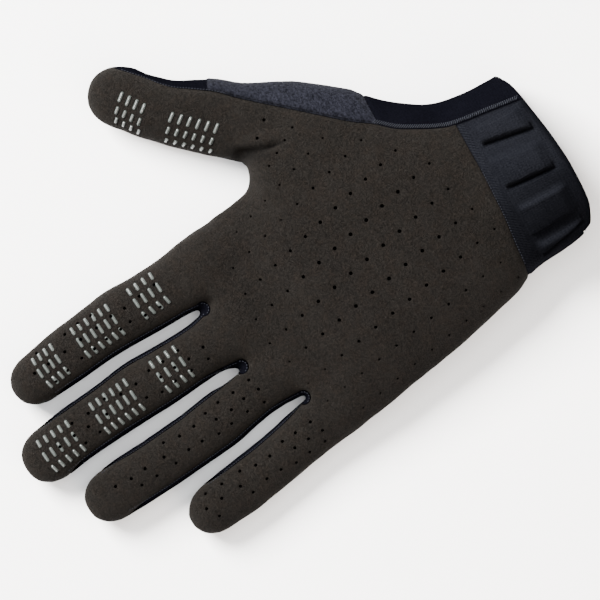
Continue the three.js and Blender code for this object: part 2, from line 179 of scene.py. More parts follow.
# A smooth line in plan through a few points.
def smoothLine(points, spacing=1.0):
    line = np.array(points, float)
    along = np.concatenate([[0], np.cumsum(np.hypot(*np.diff(line, axis=0).T))])
    places = np.linspace(0, along[-1], max(2, int(along[-1] / spacing) + 1))
    return np.column_stack([glide(along, line[:, 0], places), glide(along, line[:, 1], places)])


def softStep(low, high, value):
    t = np.clip((value - low) / (high - low), 0, 1)
    return t * t * (3 - 2 * t)


# The glove's body. Every row gives the distance along the line in mm, the edges to the left and
# right of it, the thickness and, for a digit, the height off the floor.
rowKeys = ("at", "left", "right", "deep", "lift")
hand = {
    "wall": 1.2,
    "cuffWall": 2.4,
    "press": 0.6,  # how far the cloth flattens where it lies
    "roundTop": 2.25,
    "roundUnder": 3.2,
    "roundTip": 2.3,
    "tipRings": 7,
    "grain": 1.25,  # size of the faces before they are divided
    "blend": 9,  # how often the joins between the lofts are smoothed
    "hollowGrain": 1.5,
    "hollowBlend": 5,
    "knuckleSeat": 0.3,  # keeps the floors of two lofts apart
    "plump": 0.25,  # gives back what the smoothing takes
}
# How the gap between two fingers opens from its end: half its width, so far out from there
notchRows = [(-4.4, 0.6), (-3.4, 1.15), (-1.2, 1.4), (2.5, 1.55), (7, 1.8), (12, 1.9)]
crotches = {
    "index": {"tip": (14.1, 109.1), "lean": 5.1, "deeper": 1.7},
    "middle": {"tip": (-10.8, 107.1), "lean": 5.8, "deeper": -0.6},
    "ring": {"tip": (-31.3, 92.9), "lean": 8.1, "deeper": -0.6},
}
bodyRows = [
    (-37, 24.9, 35.8, 34.0),
    (-30, 26.6, 36.0, 34.0),
    (-17, 29.3, 36.2, 33.8),
    (-3, 31.2, 37.4, 32.0),
    (2, 32.8, 38.7, 31.2),
    (5, 34.8, 40.1, 31.1),
    (9, 36.0, 42.9, 31.0),
    (17, 37.8, 49.0, 30.6),
    (27, 40.3, 58.8, 30.0),
    (37, 42.8, 66.1, 29.2),
    (47, 44.6, 70.0, 28.2),
    (59, 46.8, 69.4, 27.0),
    (65.6, 48.2, 64.3, 25.8),
    (69.4, 48.8, 53.3, 24.9),
    (73.4, 49.3, 44.2, 24.2),
    (79, 50.2, 42.6, 22.4),
    (85, 51.0, 41.9, 20.6),
    (91, 51.9, 41.2, 19.0),
]
knuckleRows = [
    (80, 27.0, 39.5, 18.5),
    (92, 30.3, 40.6, 19.0),
    (99, 28.8, 39.8, 18.2),
    (104.5, 27.0, 38.8, 17.0),
]
digits = {
    "index": {
        "root": (29.36, 81.06), "lean": 5.02, "tip": 11.8, "seat": 0.05, "rows": [
            (0, 10.4, 10.4, 18.6, 0.0),
            (16, 12.6, 12.1, 18.9, 0.0),
            (28, 12.3, 11.6, 17.7, 0.0),
            (32, 11.7, 11.2, 17.2, 0.0),
            (36, 11.1, 11.1, 16.9, 0.0),
            (44, 10.6, 11.1, 16.6, 0.1),
            (56, 9.6, 12.1, 16.6, 0.4),
            (66, 9.05, 11.6, 15.8, 0.9),
            (78, 9.3, 10.9, 15.2, 1.5),
            (88, 9.2, 9.7, 14.2, 2.2),
            (91, 9.2, 9.3, 13.7, 2.5),
        ],
    },
    "middle": {
        "root": (4.65, 81.06), "lean": 5.18, "tip": 12.5, "seat": 0.1, "rows": [
            (0, 10.0, 10.0, 18.8, 0.0),
            (16, 13.2, 13.2, 19.1, 0.0),
            (25, 12.7, 12.4, 17.9, 0.0),
            (29, 11.6, 10.8, 17.5, 0.0),
            (36, 10.2, 9.9, 17.2, 0.0),
            (52, 10.3, 10.7, 17.0, 0.2),
            (62, 10.0, 11.5, 16.8, 0.5),
            (76, 9.5, 10.8, 16.0, 1.3),
            (92, 9.7, 10.4, 15.1, 2.2),
            (100, 10.4, 9.5, 14.1, 2.8),
        ],
    },
    "ring": {
        "root": (-18.5, 81.1), "lean": 6.39, "tip": 11.7, "seat": 0.15, "rows": [
            (0, 9.2, 9.2, 18.7, 0.0),
            (11, 11.3, 12.3, 18.8, 0.0),
            (16, 9.6, 12.3, 18.4, 0.0),
            (25, 9.3, 11.0, 17.3, 0.0),
            (32, 9.8, 9.8, 16.8, 0.1),
            (44, 10.9, 9.4, 16.5, 0.3),
            (56, 10.8, 8.8, 16.2, 0.8),
            (72, 10.5, 9.0, 15.3, 1.5),
            (82, 9.95, 9.55, 14.4, 2.1),
            (88.3, 9.5, 9.4, 13.6, 2.5),
        ],
    },
    "little": {
        "root": (-37.47, 66.24), "lean": 9.83, "tip": 12.9, "seat": 0.2, "rows": [
            (0, 8.8, 8.8, 19.2, 0.0),
            (16, 10.5, 11.7, 19.0, 0.0),
            (25, 10.2, 10.8, 17.7, 0.0),
            (30, 10.05, 9.9, 17.0, 0.0),
            (36, 9.9, 9.1, 16.2, 0.2),
            (52, 10.4, 8.4, 15.2, 0.7),
            (62, 10.5, 8.6, 14.4, 1.3),
            (72, 9.4, 8.6, 13.5, 2.0),
        ],
    },
    "thumb": {
        "root": (43.37, 39.51), "lean": -41.54, "tip": 14.6, "seat": 0.25, "rows": [
            (0, 11.3, 16.2, 24.0, 0.0),
            (10, 13.5, 19.2, 24.0, 0.0),
            (18, 14.0, 18.6, 23.2, 0.0),
            (26, 13.6, 16.8, 22.0, 0.2),
            (30, 13.5, 15.6, 21.2, 0.4),
            (38, 13.3, 13.8, 20.0, 1.0),
            (46, 13.5, 13.5, 19.2, 1.6),
            (54, 13.5, 11.7, 18.5, 2.1),
            (62, 13.0, 9.9, 17.8, 2.6),
            (70, 12.3, 9.9, 17.0, 3.1),
            (75.5, 11.2, 11.2, 16.2, 3.5),
        ],
    },
}


# A solid in triangles that all look outwards
def solidObject(name, corners, faces):
    item = meshObject(name, corners, faces)
    choose(item)
    bpy.ops.object.mode_set(mode="EDIT")
    bpy.ops.mesh.select_all(action="SELECT")
    bpy.ops.mesh.quads_convert_to_tris(quad_method="BEAUTY", ngon_method="BEAUTY")
    bpy.ops.mesh.normals_make_consistent(inside=False)
    bpy.ops.object.mode_set(mode="OBJECT")
    return item


# A solid with a plan as its section. It may lean, with its plan true at one level, or have
# another plan at its foot.
def prismObject(name, points, lean=(0.0, 0.0), level=12.0, foot=None, low=-40.0, high=80.0):
    count = len(points)
    corners = []
    for plan, z in ((foot or points, low), (points, high)):
        corners += [place(x + lean[0] * (z - level), y + lean[1] * (z - level), z) for x, y in plan]
    faces = [tuple(range(count - 1, -1, -1)), tuple(range(count, 2 * count))]
    faces += [(i, (i + 1) % count, (i + 1) % count + count, i + count) for i in range(count)]
    return solidObject(name, corners, faces)


def carve(item, tool, operation):
    applyModifier(item, "BOOLEAN", object=tool, operation=operation, solver="MANIFOLD")


def oneRing(centre, across, halfWidth, halfDeep, floor, sides):
    angle = np.linspace(0, 2 * math.pi, sides, endpoint=False)
    c = np.cos(angle)
    s = np.sin(angle)
    power = 2 / np.where(s > 0, hand["roundTop"], hand["roundUnder"])
    sideways = np.sign(c) * np.abs(c) ** power * halfWidth
    upward = np.sign(s) * np.abs(s) ** power * halfDeep
    points = centre[None, :] + sideways[:, None] * across[None, :]
    points[:, 2] = np.maximum(points[:, 2] + upward, floor)
    return points


# A closed skin through rings, with a fan at each end.
def loftObject(name, rings, lastPoint):
    sides = len(rings[0])
    points = np.concatenate([*rings, [rings[0].mean(axis=0)], [lastPoint]])
    first = len(rings) * sides
    faces = []
    for r in range(len(rings) - 1):
        for i in range(sides):
            a = r * sides + i
            b = r * sides + (i + 1) % sides
            faces.append((a, b, b + sides, a + sides))
    for i in range(sides):
        faces.append((first, (i + 1) % sides, i))
        a = (len(rings) - 1) * sides + i
        b = (len(rings) - 1) * sides + (i + 1) % sides
        faces.append((first + 1, a, b))
    return meshObject(name, [place(*point) for point in points], faces)


def bodyLoft(name, rows, inset, seat=0.0, sides=72, step=2.0):
    places = np.arange(rows[0][0], rows[-1][0] + step / 2, step)
    left = readOff(rows, "left", places)
    right = readOff(rows, "right", places)
    deep = readOff(rows, "deep", places)
    rings = []
    for i, y in enumerate(places):
        wall = inset * (hand["cuffWall"] if y < 0 else hand["wall"])
        centre = np.array([(right[i] - left[i]) / 2, y, deep[i] / 2 - hand["press"]])
        rings.append(oneRing(
            centre, np.array([1.0, 0, 0]), (right[i] + left[i]) / 2 - wall, deep[i] / 2 - wall,
            wall + seat, sides,
        ))
    return loftObject(name, rings, rings[-1].mean(axis=0))


# The directions along and across a line that leans so many degrees from +Y towards -X
def directions(degrees):
    lean = math.radians(degrees)
    way = np.array([-math.sin(lean), math.cos(lean)])
    across = np.array([math.cos(lean), math.sin(lean)])
    return way, across


def digitLine(digit):
    way, across = directions(digit["lean"])
    return np.array([*digit["root"], 0.0]), np.array([*way, 0.0]), np.array([*across, 0.0])


def rowsEnd(digit):
    return digit["rows"][-1][0]


def digitLoft(name, digit, inset, sides=48, step=2.0):
    root, way, across = digitLine(digit)
    rows = digit["rows"]
    wall = inset * hand["wall"]
    places = np.linspace(0, rows[-1][0], int(rows[-1][0] / step) + 1)
    values = {key: readOff(rows, key, places) for key in ("left", "right", "deep", "lift")}
    rings = []

    def addRing(i, along, share):
        halfDeep = values["deep"][i] / 2
        centre = root + way * along + across * (values["right"][i] - values["left"][i]) / 2
        centre[2] = values["lift"][i] + halfDeep - hand["press"]
        halfWidth = (values["right"][i] + values["left"][i]) / 2 - wall
        rings.append(oneRing(
            centre, across, halfWidth * share, (halfDeep - wall) * share, wall + digit["seat"], sides,
        ))
        return centre

    for i, along in enumerate(places):
        addRing(i, along, 1.0)
    reach = digit["tip"] - wall
    last = len(places) - 1
    for out in np.sin(np.linspace(0, math.pi / 2, hand["tipRings"] + 2)[1:-1]):
        share = (1 - out ** hand["roundTip"]) ** (1 / hand["roundTip"])
        centre = addRing(last, places[-1] + out * reach, share)
    end = centre + way * (reach * (1 - out))
    return loftObject(name, rings, end)


# The whole hand as one smooth skin. Inset 0 is the glove's outside and 1 its hollow.
def handSkin(name, inset, grain, blend):
    parts = [bodyLoft("body", bodyRows, inset)]
    parts.append(bodyLoft("knuckles", knuckleRows, inset, hand["knuckleSeat"]))
    parts += [digitLoft(key, digit, inset) for key, digit in digits.items()]
    skin = joinAll(parts, name)
    applyModifier(skin, "REMESH", mode="VOXEL", voxel_size=grain * mm, use_smooth_shade=True)
    for crotch in crotches.values():
        notch = notchTool(crotch, inset * hand["wall"])
        carve(skin, notch, "DIFFERENCE")
        remove(notch)
    applyModifier(skin, "REMESH", mode="VOXEL", voxel_size=grain * mm, use_smooth_shade=True)
    applyModifier(skin, "SMOOTH", factor=0.5, iterations=blend)
    points = readPoints(skin) + readNormals(skin) * hand["plump"] * mm
    points[:, 2] = np.maximum(points[:, 2], inset * hand["wall"] * mm)
    writePoints(skin, points)
    return skin


def notchTool(crotch, wall):
    way, across = directions(crotch["lean"])
    sides = [[], []]
    for out, half in notchRows:
        middle = np.array(crotch["tip"]) + way * (out - (wall + crotch["deeper"]) * (out < 0))
        for side, points in zip((-1, 1), sides):
            points.append(middle + across * side * (half + wall))
    return prismObject("notch", [*sides[0], *sides[1][::-1]])


outside = handSkin("outside", 0.0, hand["grain"], hand["blend"])
applyModifier(outside, "SUBSURF", levels=1, render_levels=1)
hollow = handSkin("hollow", 1.0, hand["hollowGrain"], hand["hollowBlend"])
print("hand skin", len(outside.data.polygons), "faces, hollow", len(hollow.data.polygons))

# The seams, in plan, from the wrist to the fingertips
seams = {
    "gap": 0.05,  # from a panel's edge to the seam's middle
    "lean": 0.04,  # how the cuts slope, so that none opens a straight way through the glove
    "thumbSide": [
        (24.3, -30), (25.5, -21), (26.6, -13), (27.3, -7), (28.5, 0), (30, 4), (33, 10), (37, 17),
        (42, 22.8), (47, 30), (53, 37), (60, 45), (66, 52), (70, 56.5), (75, 62), (80, 67),
        (85, 74), (89, 80), (92, 83.1), (96.7, 87.0), (101.5, 91.4), (107, 96.6),
    ],
    "underThumb": [
        (24, -38), (27, -7), (30.5, 5), (39, 24), (46, 47), (50, 62), (51, 70), (51, 130),
    ],
    "cuff": [
        (-60, 2), (-33, 1.2), (-28, 0.6), (-20, 0), (-10, -1), (0, -1.5), (10, -1.9), (30, -1.9),
        (60, -1),
    ],
    "hem": [
        (-60, -19.5), (-30, -22), (-27.9, -24.3), (-26.4, -27.2), (-22.8, -29.1), (-19, -30.5),
        (-12, -31.1), (-4, -31.2), (6.5, -30.4), (20, -28.4), (30.6, -26.3), (35, -24),
        (37.5, -22), (60, -19.5),
    ],
    "wipeLine": [(62, 60), (78, 69.5), (83.5, 68.5), (95, 60)],  # where the wipe panel ends
    "wipeLean": (0.08, 0.09),
    "wristLine": 22.0,  # where it starts
    # the height of the side seams: along, up
    "height": [
        (-38, 14.3), (-17, 14.2), (0, 13.4), (12, 13.0), (30, 12.4), (47, 11.8), (60, 11.3),
        (74, 10.2), (86, 8.9), (100, 7.9), (120, 7.4), (140, 7.5), (160, 7.8), (185, 8.6),
    ],
}
# Where the tools that cut the panels apart end, well clear of the glove
clear = {
    "sides": (-120, 160),
    "ends": (-60, 260),
    "top": 90,
    "thumbSide": [(24.0, -60), (130, 120), (170, 60), (170, -60)],
    "underThumb": [(24.0, -70), (200, 130), (200, -70)],
    "wrist": (-150, 170, -150),  # left, right and wristwards
    "thumbEnd": [(150, 60), (150, 150), (40, 150), (40, 90)],
}


# Everything above the side seams: their height follows the hand, and the profile runs along X.
def aboveSeams(grow):
    line = smoothLine(seams["height"], 3.0)
    line[:, 1] -= grow
    back, front = clear["ends"]
    top = clear["top"]
    profile = [(back, line[0, 1]), *line, (front, line[-1, 1]), (front, top), (back, top)]
    points = [place(x, y, z) for x in clear["sides"] for y, z in profile]
    count = len(profile)
    faces = [tuple(range(count)), tuple(range(2 * count - 1, count - 1, -1))]
    faces += [(i, i + count, (i + 1) % count + count, (i + 1) % count) for i in range(count)]
    return solidObject("aboveSeams", points, faces)


# A line drawn parallel to another in plan, to its left where shift is positive.
def offsetLine(line, shift):
    way = np.gradient(np.asarray(line, float), axis=0)
    way /= np.maximum(np.hypot(way[:, 0], way[:, 1]), 1e-9)[:, None]
    return np.asarray(line, float) + shift * np.column_stack([-way[:, 1], way[:, 0]])


def sideTool(grow):
    upper = offsetLine(smoothLine(seams["thumbSide"]), grow)
    lower = offsetLine(smoothLine(seams["underThumb"], 2.0), grow)
    first, *rest = clear["thumbSide"]
    top = prismObject("thumbSide", [first, *upper, *rest])
    first, *rest = clear["underThumb"]
    under = prismObject("underThumb", [first, *lower, *rest])
    above = aboveSeams(-grow)
    carve(under, above, "DIFFERENCE")
    carve(top, under, "UNION")
    remove(under, above)
    return top


def wristwardTool(line, grow):
    edge = offsetLine(line, grow) if len(line) > 2 else np.asarray(line, float) + (0, grow)
    left, right, low = clear["wrist"]
    points = [(left, edge[0, 1]), *edge, (right, edge[-1, 1]), (right, low), (left, low)]
    return prismObject("wristward", points, lean=(0.0, seams["lean"]), level=30.0)


def fingerEdge(digit, places, side, inset):
    root, way, across = digitLine(digit)
    half = readOff(digit["rows"], "left" if side < 0 else "right", places)
    points = root + np.outer(places, way) + np.outer(side * (half - inset), across)
    return points[:, :2]


# The black strips in the gaps between the fingers. A strip is wider towards the back of the hand.
strip = {
    "foot": -4.0,
    "head": 44.0,
    "slope": 0.06,
    "level": 13.0,  # the height at which a strip's width is true
    "patchLevel": 19.0,  # and that of the round patch at its crotch
    "show": {1: 0.75, -1: 1.15},  # a finger's strips on its two sides, seen from above
    "round": 1.9,  # the patch's radius
    "opens": 0.16,  # how fast the strips leave the gap's middle
    "before": 0.9,  # how far before the crotch they start
    "tipShare": 0.35,  # how far along the rounded fingertip they end
    "fade": 16,
    "tucked": 0.6,  # how far they lie under the finger's edge at their end
    "outwards": 2.6,
    "across": 1.3,
    "between": [("little", "ring"), ("ring", "middle"), ("middle", "index")],
}


# Beside a crotch a line in plan stays this near the gap's middle, and so runs into the patch.
def keepNear(line, crotch, reach):
    way, across = directions(crotch["lean"])
    along = (line - crotch["tip"]) @ way
    limit = reach + strip["opens"] * np.maximum(along, 0)
    aside = np.clip((line - crotch["tip"]) @ across, -limit, limit)
    return np.array(crotch["tip"]) + np.outer(along, way) + np.outer(aside, across)


# How far along a finger's line the crotch beside it lies
def crotchAlong(digit, crotch):
    root, way, _ = digitLine(digit)
    return float(np.dot(np.array([*crotch["tip"], 0.0]) - root, way))


def patchRadius(height, grow):
    return strip["round"] + grow + (strip["patchLevel"] - height) * strip["slope"]


# A prism from a plan that depends on the height
def stripPrism(name, planAt):
    low, high = strip["foot"], strip["head"]
    return prismObject(name, planAt(high), foot=planAt(low), low=low, high=high)


def stripTool(digit, side, crotch, grow):
    way = digitLine(digit)[1]
    end = rowsEnd(digit) + digit["tip"] * strip["tipShare"]
    places = np.linspace(crotchAlong(digit, crotch) - strip["before"], end, 40)
    fade = 1 - softStep(end - strip["fade"], end, places)
    show = strip["show"][side] * fade - strip["tucked"] * (1 - fade) + grow
    straight = np.minimum(places, rowsEnd(digit))
    extra = np.outer(places - straight, way[:2])
    outer = fingerEdge(digit, straight, side, -strip["outwards"]) + extra
    outer = keepNear(outer, crotch, strip["across"])

    def planAt(height):
        shown = show + (strip["level"] - height) * strip["slope"]
        inner = fingerEdge(digit, straight, side, shown) + extra
        return [*keepNear(inner, crotch, patchRadius(height, grow)), *outer[::-1]]

    return stripPrism("strip", planAt)


def fourchetteTool(left, right, grow):
    crotch = crotches[right]
    whole = stripTool(digits[left], 1, crotch, grow)
    other = stripTool(digits[right], -1, crotch, grow)
    turn = np.linspace(0, 2 * math.pi, 24, endpoint=False)
    x, y = crotch["tip"]

    def planAt(height):
        radius = patchRadius(height, grow)
        return [(x + radius * math.cos(a), y + radius * math.sin(a)) for a in turn]

    patch = stripPrism("patch", planAt)
    carve(whole, other, "UNION")
    carve(whole, patch, "UNION")
    remove(other, patch)
    return whole


def cuffTool(grow):
    return wristwardTool(smoothLine(seams["cuff"]), grow)


# Takes a panel out of what is left of the skin.
def takePanel(rest, name, makeTool):
    panel = copyOf(rest, name)
    inner = makeTool(-seams["gap"])
    outer = makeTool(seams["gap"])
    carve(panel, inner, "INTERSECT")
    carve(rest, outer, "DIFFERENCE")
    remove(inner, outer)
    print("panel", name, len(panel.data.polygons))
    return panel


# Relief that the whole skin takes before it is cut: pads, folds and dimples.
relief = {
    "padRise": 2.2,
    "padPillow": 0.4,  # how much lower a pad is beside its edges than in its middle
    "padTop": -5.8,
    "padBottom": -27.2,
    "padLeft": 0.55,  # width of the steep edge towards the little finger
    "padRight": 1.5,  # width of the soft edge towards the thumb
    "padStart": 3.0,  # how softly a pad starts at the seam
    "padEnd": 5.5,  # and ends at the hem
    "lipRise": 0.5,
    "lipIn": 2.2,  # from the pad's edge to its lip
    "lipWide": 1.1,
    "grooveDeep": 1.1,
    "grooveWide": 0.75,
    "bandRise": 0.25,
    "terryRise": 0.45,
    "thumbFold": [(58.0, 72.5), (55.3, 68.0), (53.4, 61.0), (52.0, 53.0)],
    "thumbFoldDeep": 2.3,
    "thumbFoldWide": 2.0,
    "thumbFoldRise": 1.0,
    "thumbFoldLip": (3.4, 2.8),  # how far beside the fold the cloth swells, and how widely
    "webDeep": 0.7,
    "webWide": 3.5,
    "waves": 0.28,
    "ripples": 0.1,
    "holeDent": 0.3,
    "dentReach": 2.6,  # in radii of the hole
}
# A pad whose flag is 1 has a groove beside its edge towards the little finger: a dent in the skin that
# is also darkened with painted shade.
pads = [
    {"left": (-60, -60), "right": (-30.6, -25.6), "paintedShade": 0, "lip": 0.4},
    {"left": (-28.4, -23.7), "right": (-22.3, -21.7), "paintedShade": 1, "lip": 0.8},
    {"left": (-20.6, -19.4), "right": (-7.3, -7.8), "paintedShade": 0, "lip": 1.0},
    {"left": (-0.6, -2.4), "right": (12.0, 9.4), "paintedShade": 1, "lip": 0.35},
    {"left": (17.2, 13.4), "right": (25.0, 23.4), "paintedShade": 1, "lip": 0.1},
]
webs = [
    [(13.9, 108.6), (15.6, 98.0), (16.8, 88.0)],
    [(-10.7, 106.6), (-8.8, 96.0), (-7.6, 86.0)],
    [(-31.4, 92.4), (-28.8, 83.0), (-26.4, 74.0)],
]
# The holes: rows over the palm from the fingers to the wrist, and places along the fingers.
holeRows = [
    {"start": (-44.9, 75.8), "end": (-30.8, 4.6), "count": 10},
    {"start": (-36.5, 85.9), "end": (-23.1, 7.7), "count": 11},
    {"start": (-27.6, 88.9), "end": (-11.5, 3.9), "count": 12},
    {"start": (-17.5, 91.0), "end": (-1.4, 7.4), "count": 12},
    {"start": (-8.4, 94.0), "end": (9.0, 11.5), "count": 12},
    {"start": (1.6, 94.1), "end": (20.3, 12.9), "count": 12},
    {"start": (11.4, 93.1), "end": (30.2, 21.2), "count": 11},
    {"start": (21.7, 92.4), "end": (39.4, 30.1), "count": 9},
    {"start": (32.4, 85.1), "end": (46.8, 41.8), "count": 7},
    {"start": (47.4, 63.4), "end": (55.4, 49.4), "count": 4, "radius": 0.5},
    {"start": (58.2, 62.3), "end": (62.8, 57.0), "count": 2, "radius": 0.62},
]
fingerHoles = {
    "ring": [
        (-26.5, 90.5), (-26.8, 84.2), (-30.7, 82), (-26, 78.1), (-30.4, 75.6), (-25.7, 70.1),
        (-29.8, 67.4), (-21, 67.8), (-27.7, 61), (-21.8, 61.6), (-27.4, 55.3), (-21.2, 55.4),
        (-28, 48.7), (-19.1, 49.5), (-22.9, 47.1), (-27, 43), (-17.9, 43.7), (-22.5, 40.7),
        (-17.4, 37.2), (-26, 35.9), (-21.2, 34.9), (-26, 29), (-16.2, 30.1), (-20.8, 28.6),
    ],
    "little": [
        (-49.4, 65.8), (-54, 63), (-44.5, 63.5), (-48.7, 59.2), (-44.2, 56.7), (-48.2, 51.2),
        (-52.4, 48.2), (-43.3, 48.8), (-50.5, 41.5), (-44.2, 42.7), (-50.1, 35.5), (-43.8, 36.7),
        (-50.6, 29.5), (-41.4, 30.2), (-45.6, 27.4), (-49.6, 23.4), (-40.9, 24.6), (-45.2, 21.5),
        (-48.9, 16.7), (-40.1, 18), (-45, 15.7),
    ],
    "middle": [
        (-4.3, 101), (-3.3, 94.6), (-7.7, 92.2), (1, 93.2), (-3, 88.6), (-6.7, 85.8),
        (1.3, 86.3), (-2.2, 80.6), (2.9, 78.7), (1.6, 72.7), (2.2, 66.2), (-4, 65.2),
        (4.2, 59.8), (-5, 59.3), (0.1, 57.2), (-3.8, 53.3), (4.5, 53.8), (0.6, 51.1),
        (5.4, 47.2), (0.8, 45.2), (-3.3, 46.3), (-2.6, 39), (2.1, 38.7),
    ],
    "index": [
        (23.2, 96.2), (17, 90.9), (29.2, 92.2), (23.7, 90.2), (18.4, 85.3), (24.7, 83),
        (19.7, 78.7), (30.2, 80), (25.8, 75.8), (20.5, 73.1), (31.4, 74), (26.7, 68.8),
        (31.6, 68.5), (21.5, 67.6), (27.8, 62.3), (22.1, 61.5), (22.7, 57.1), (28, 56.6),
        (22.2, 51.3), (29.2, 49.9), (22.2, 45.2), (30.2, 43.2),
    ],
}
perforation = {
    "palm": 0.74,
    "edge": 0.36,
    "finger": 0.62,
    "sides": 14,
    "through": (-2.6, 1.6),
    "middle": (2, 48),  # where the holes are widest
    "fadeAlong": (14, 50, 0.75),  # from and to which distance they shrink, and how much
    "fadeAcross": (12, 46, 0.8),
    "closed": (31, 69),  # where they close up
    "closedWide": 10,
    "closedShare": 0.85,
    "seamAbove": 77.0,  # from the palm's middle to the cuff's seam
}


def holeList():
    holes = []
    *alongRange, alongShare = perforation["fadeAlong"]
    *acrossRange, acrossShare = perforation["fadeAcross"]
    for row in holeRows:
        (x0, y0), (x1, y1) = row["start"], row["end"]
        for i in range(row["count"]):
            share = i / (row["count"] - 1)
            x = x0 + (x1 - x0) * share
            y = y0 + (y1 - y0) * share
            across = abs(x - perforation["middle"][0])
            along = abs(y - perforation["middle"][1])
            wide = 1 - softStep(*alongRange, along) * alongShare
            wide -= softStep(*acrossRange, across) * acrossShare
            away = math.hypot(x - perforation["closed"][0], y - perforation["closed"][1])
            close = math.exp(-((away / perforation["closedWide"]) ** 2))
            wide = max(wide, 0) * (1 - perforation["closedShare"] * close)
            radius = perforation["edge"] + (perforation["palm"] - perforation["edge"]) * wide
            holes.append((x, y, row.get("radius", radius)))
    for places in fingerHoles.values():
        holes += [(x, y + perforation["seamAbove"], perforation["finger"]) for x, y in places]
    return holes


holes = holeList()


def drawn(points):
    return (points - np.array(frameMiddle)) / mm + np.array(drawnMiddle)


# Distance in plan from each point to a line, and how far along it the nearest place is.
def toLine(points, line):
    best = np.full(len(points), 1e9)
    along = np.zeros(len(points))
    start = 0.0
    for a, b in zip(np.asarray(line, float)[:-1], np.asarray(line, float)[1:]):
        way = b - a
        length = np.hypot(*way)
        t = np.clip(((points - a) @ way) / length**2, 0, 1)
        away = np.hypot(*(points - (a + t[:, None] * way)).T)
        nearer = away < best
        best = np.where(nearer, away, best)
        along = np.where(nearer, start + t * length, along)
        start += length
    return best, along / start


def padHeight(x, y):
    top = relief["padTop"]
    bottom = relief["padBottom"]
    share = (top - y) / (top - bottom)
    ends = softStep(0, relief["padStart"], top - y) * softStep(0, relief["padEnd"], y - bottom)
    height = np.zeros(len(x))
    for pad in pads:
        left = pad["left"][0] + (pad["left"][1] - pad["left"][0]) * share
        right = pad["right"][0] + (pad["right"][1] - pad["right"][0]) * share
        rise = softStep(0, relief["padLeft"] * 2, x - left)
        rise = rise * softStep(0, relief["padRight"] * 2, right - x)
        fromMiddle = np.minimum(np.abs(2 * (x - left) / (right - left) - 1), 1)
        pillow = 1 - relief["padPillow"] * fromMiddle ** 2
        height += relief["padRise"] * rise * pillow * ends
    return height + relief["lipRise"] * lipAt(x, y) - relief["grooveDeep"] * grooveAt(x, y)


# The raised lip along a pad's edge towards the thumb
def lipAt(x, y):
    share = (relief["padTop"] - y) / (relief["padTop"] - relief["padBottom"])
    ends = softStep(0.5, 3.5, relief["padTop"] - y) * softStep(0.5, 3.5, y - relief["padBottom"])
    highest = np.zeros(len(x))
    for pad in pads:
        right = pad["right"][0] + (pad["right"][1] - pad["right"][0]) * share
        lip = np.exp(-(((right - x - relief["lipIn"]) / relief["lipWide"]) ** 2)) * ends
        highest = np.maximum(highest, pad["lip"] * lip)
    return highest


# The grooves beside the pads, from 0 beside them to 1 on them. They dent the skin and also take painted
# shade.
def grooveAt(x, y):
    top = relief["padTop"] - 1.0
    bottom = relief["padBottom"] + 0.8
    share = (relief["padTop"] - y) / (relief["padTop"] - relief["padBottom"])
    ends = softStep(0, 0.9, top - y) * softStep(0, 0.9, y - bottom)
    deepest = np.zeros(len(x))
    for pad in pads:
        if not pad["paintedShade"]:
            continue
        left = pad["left"][0] + (pad["left"][1] - pad["left"][0]) * share
        line = np.exp(-(((x - left + 0.35) / relief["grooveWide"]) ** 2)) * ends
        deepest = np.maximum(deepest, line)
        hook = softStep(0, 0.8, x - left + 1.0) * softStep(0, 0.8, left + 2.4 - x)
        deepest = np.maximum(deepest, 0.7 * np.exp(-(((y - bottom - 0.7) / 0.6) ** 2)) * hook)
    return deepest


# The fold at the thumb's root and the hollows between the fingers, which the glove's inside
# follows too.
def foldPush(at, normals):
    facing = softStep(0.05, 0.5, normals[:, 2])
    away, along = toLine(at[:, :2], relief["thumbFold"])
    ends = softStep(-0.02, 0.2, along) * (1 - softStep(0.6, 1.0, along))
    beyond = softStep(-0.4, 0.4, at[:, 0] - 52.0 - (at[:, 1] - 53.0) * 0.3)
    lipOut, lipWide = relief["thumbFoldLip"]
    swell = np.exp(-(((away - lipOut) / lipWide) ** 2))
    push = relief["thumbFoldRise"] * swell * ends * facing * beyond
    wide = relief["thumbFoldWide"] * (1.15 - 0.75 * along)
    push -= relief["thumbFoldDeep"] * np.exp(-((away / wide) ** 2)) * ends * facing
    for web in webs:
        away, along = toLine(at[:, :2], web)
        push -= relief["webDeep"] * np.exp(-((away / relief["webWide"]) ** 2)) * (1 - along) * facing
    return push


def foldSkin(item):
    points = readPoints(item)
    normals = readNormals(item)
    writePoints(item, points + normals * (foldPush(drawn(points), normals) * mm)[:, None])


# How far a place in plan is from the wipe panel's end, towards the wrist.
def tipward(x, y):
    a = np.array(seams["wipeLine"][1], float)
    b = np.array(seams["wipeLine"][2], float)
    way = (b - a) / np.hypot(*(b - a))
    return way[1] * (x - a[0]) - way[0] * (y - a[1])


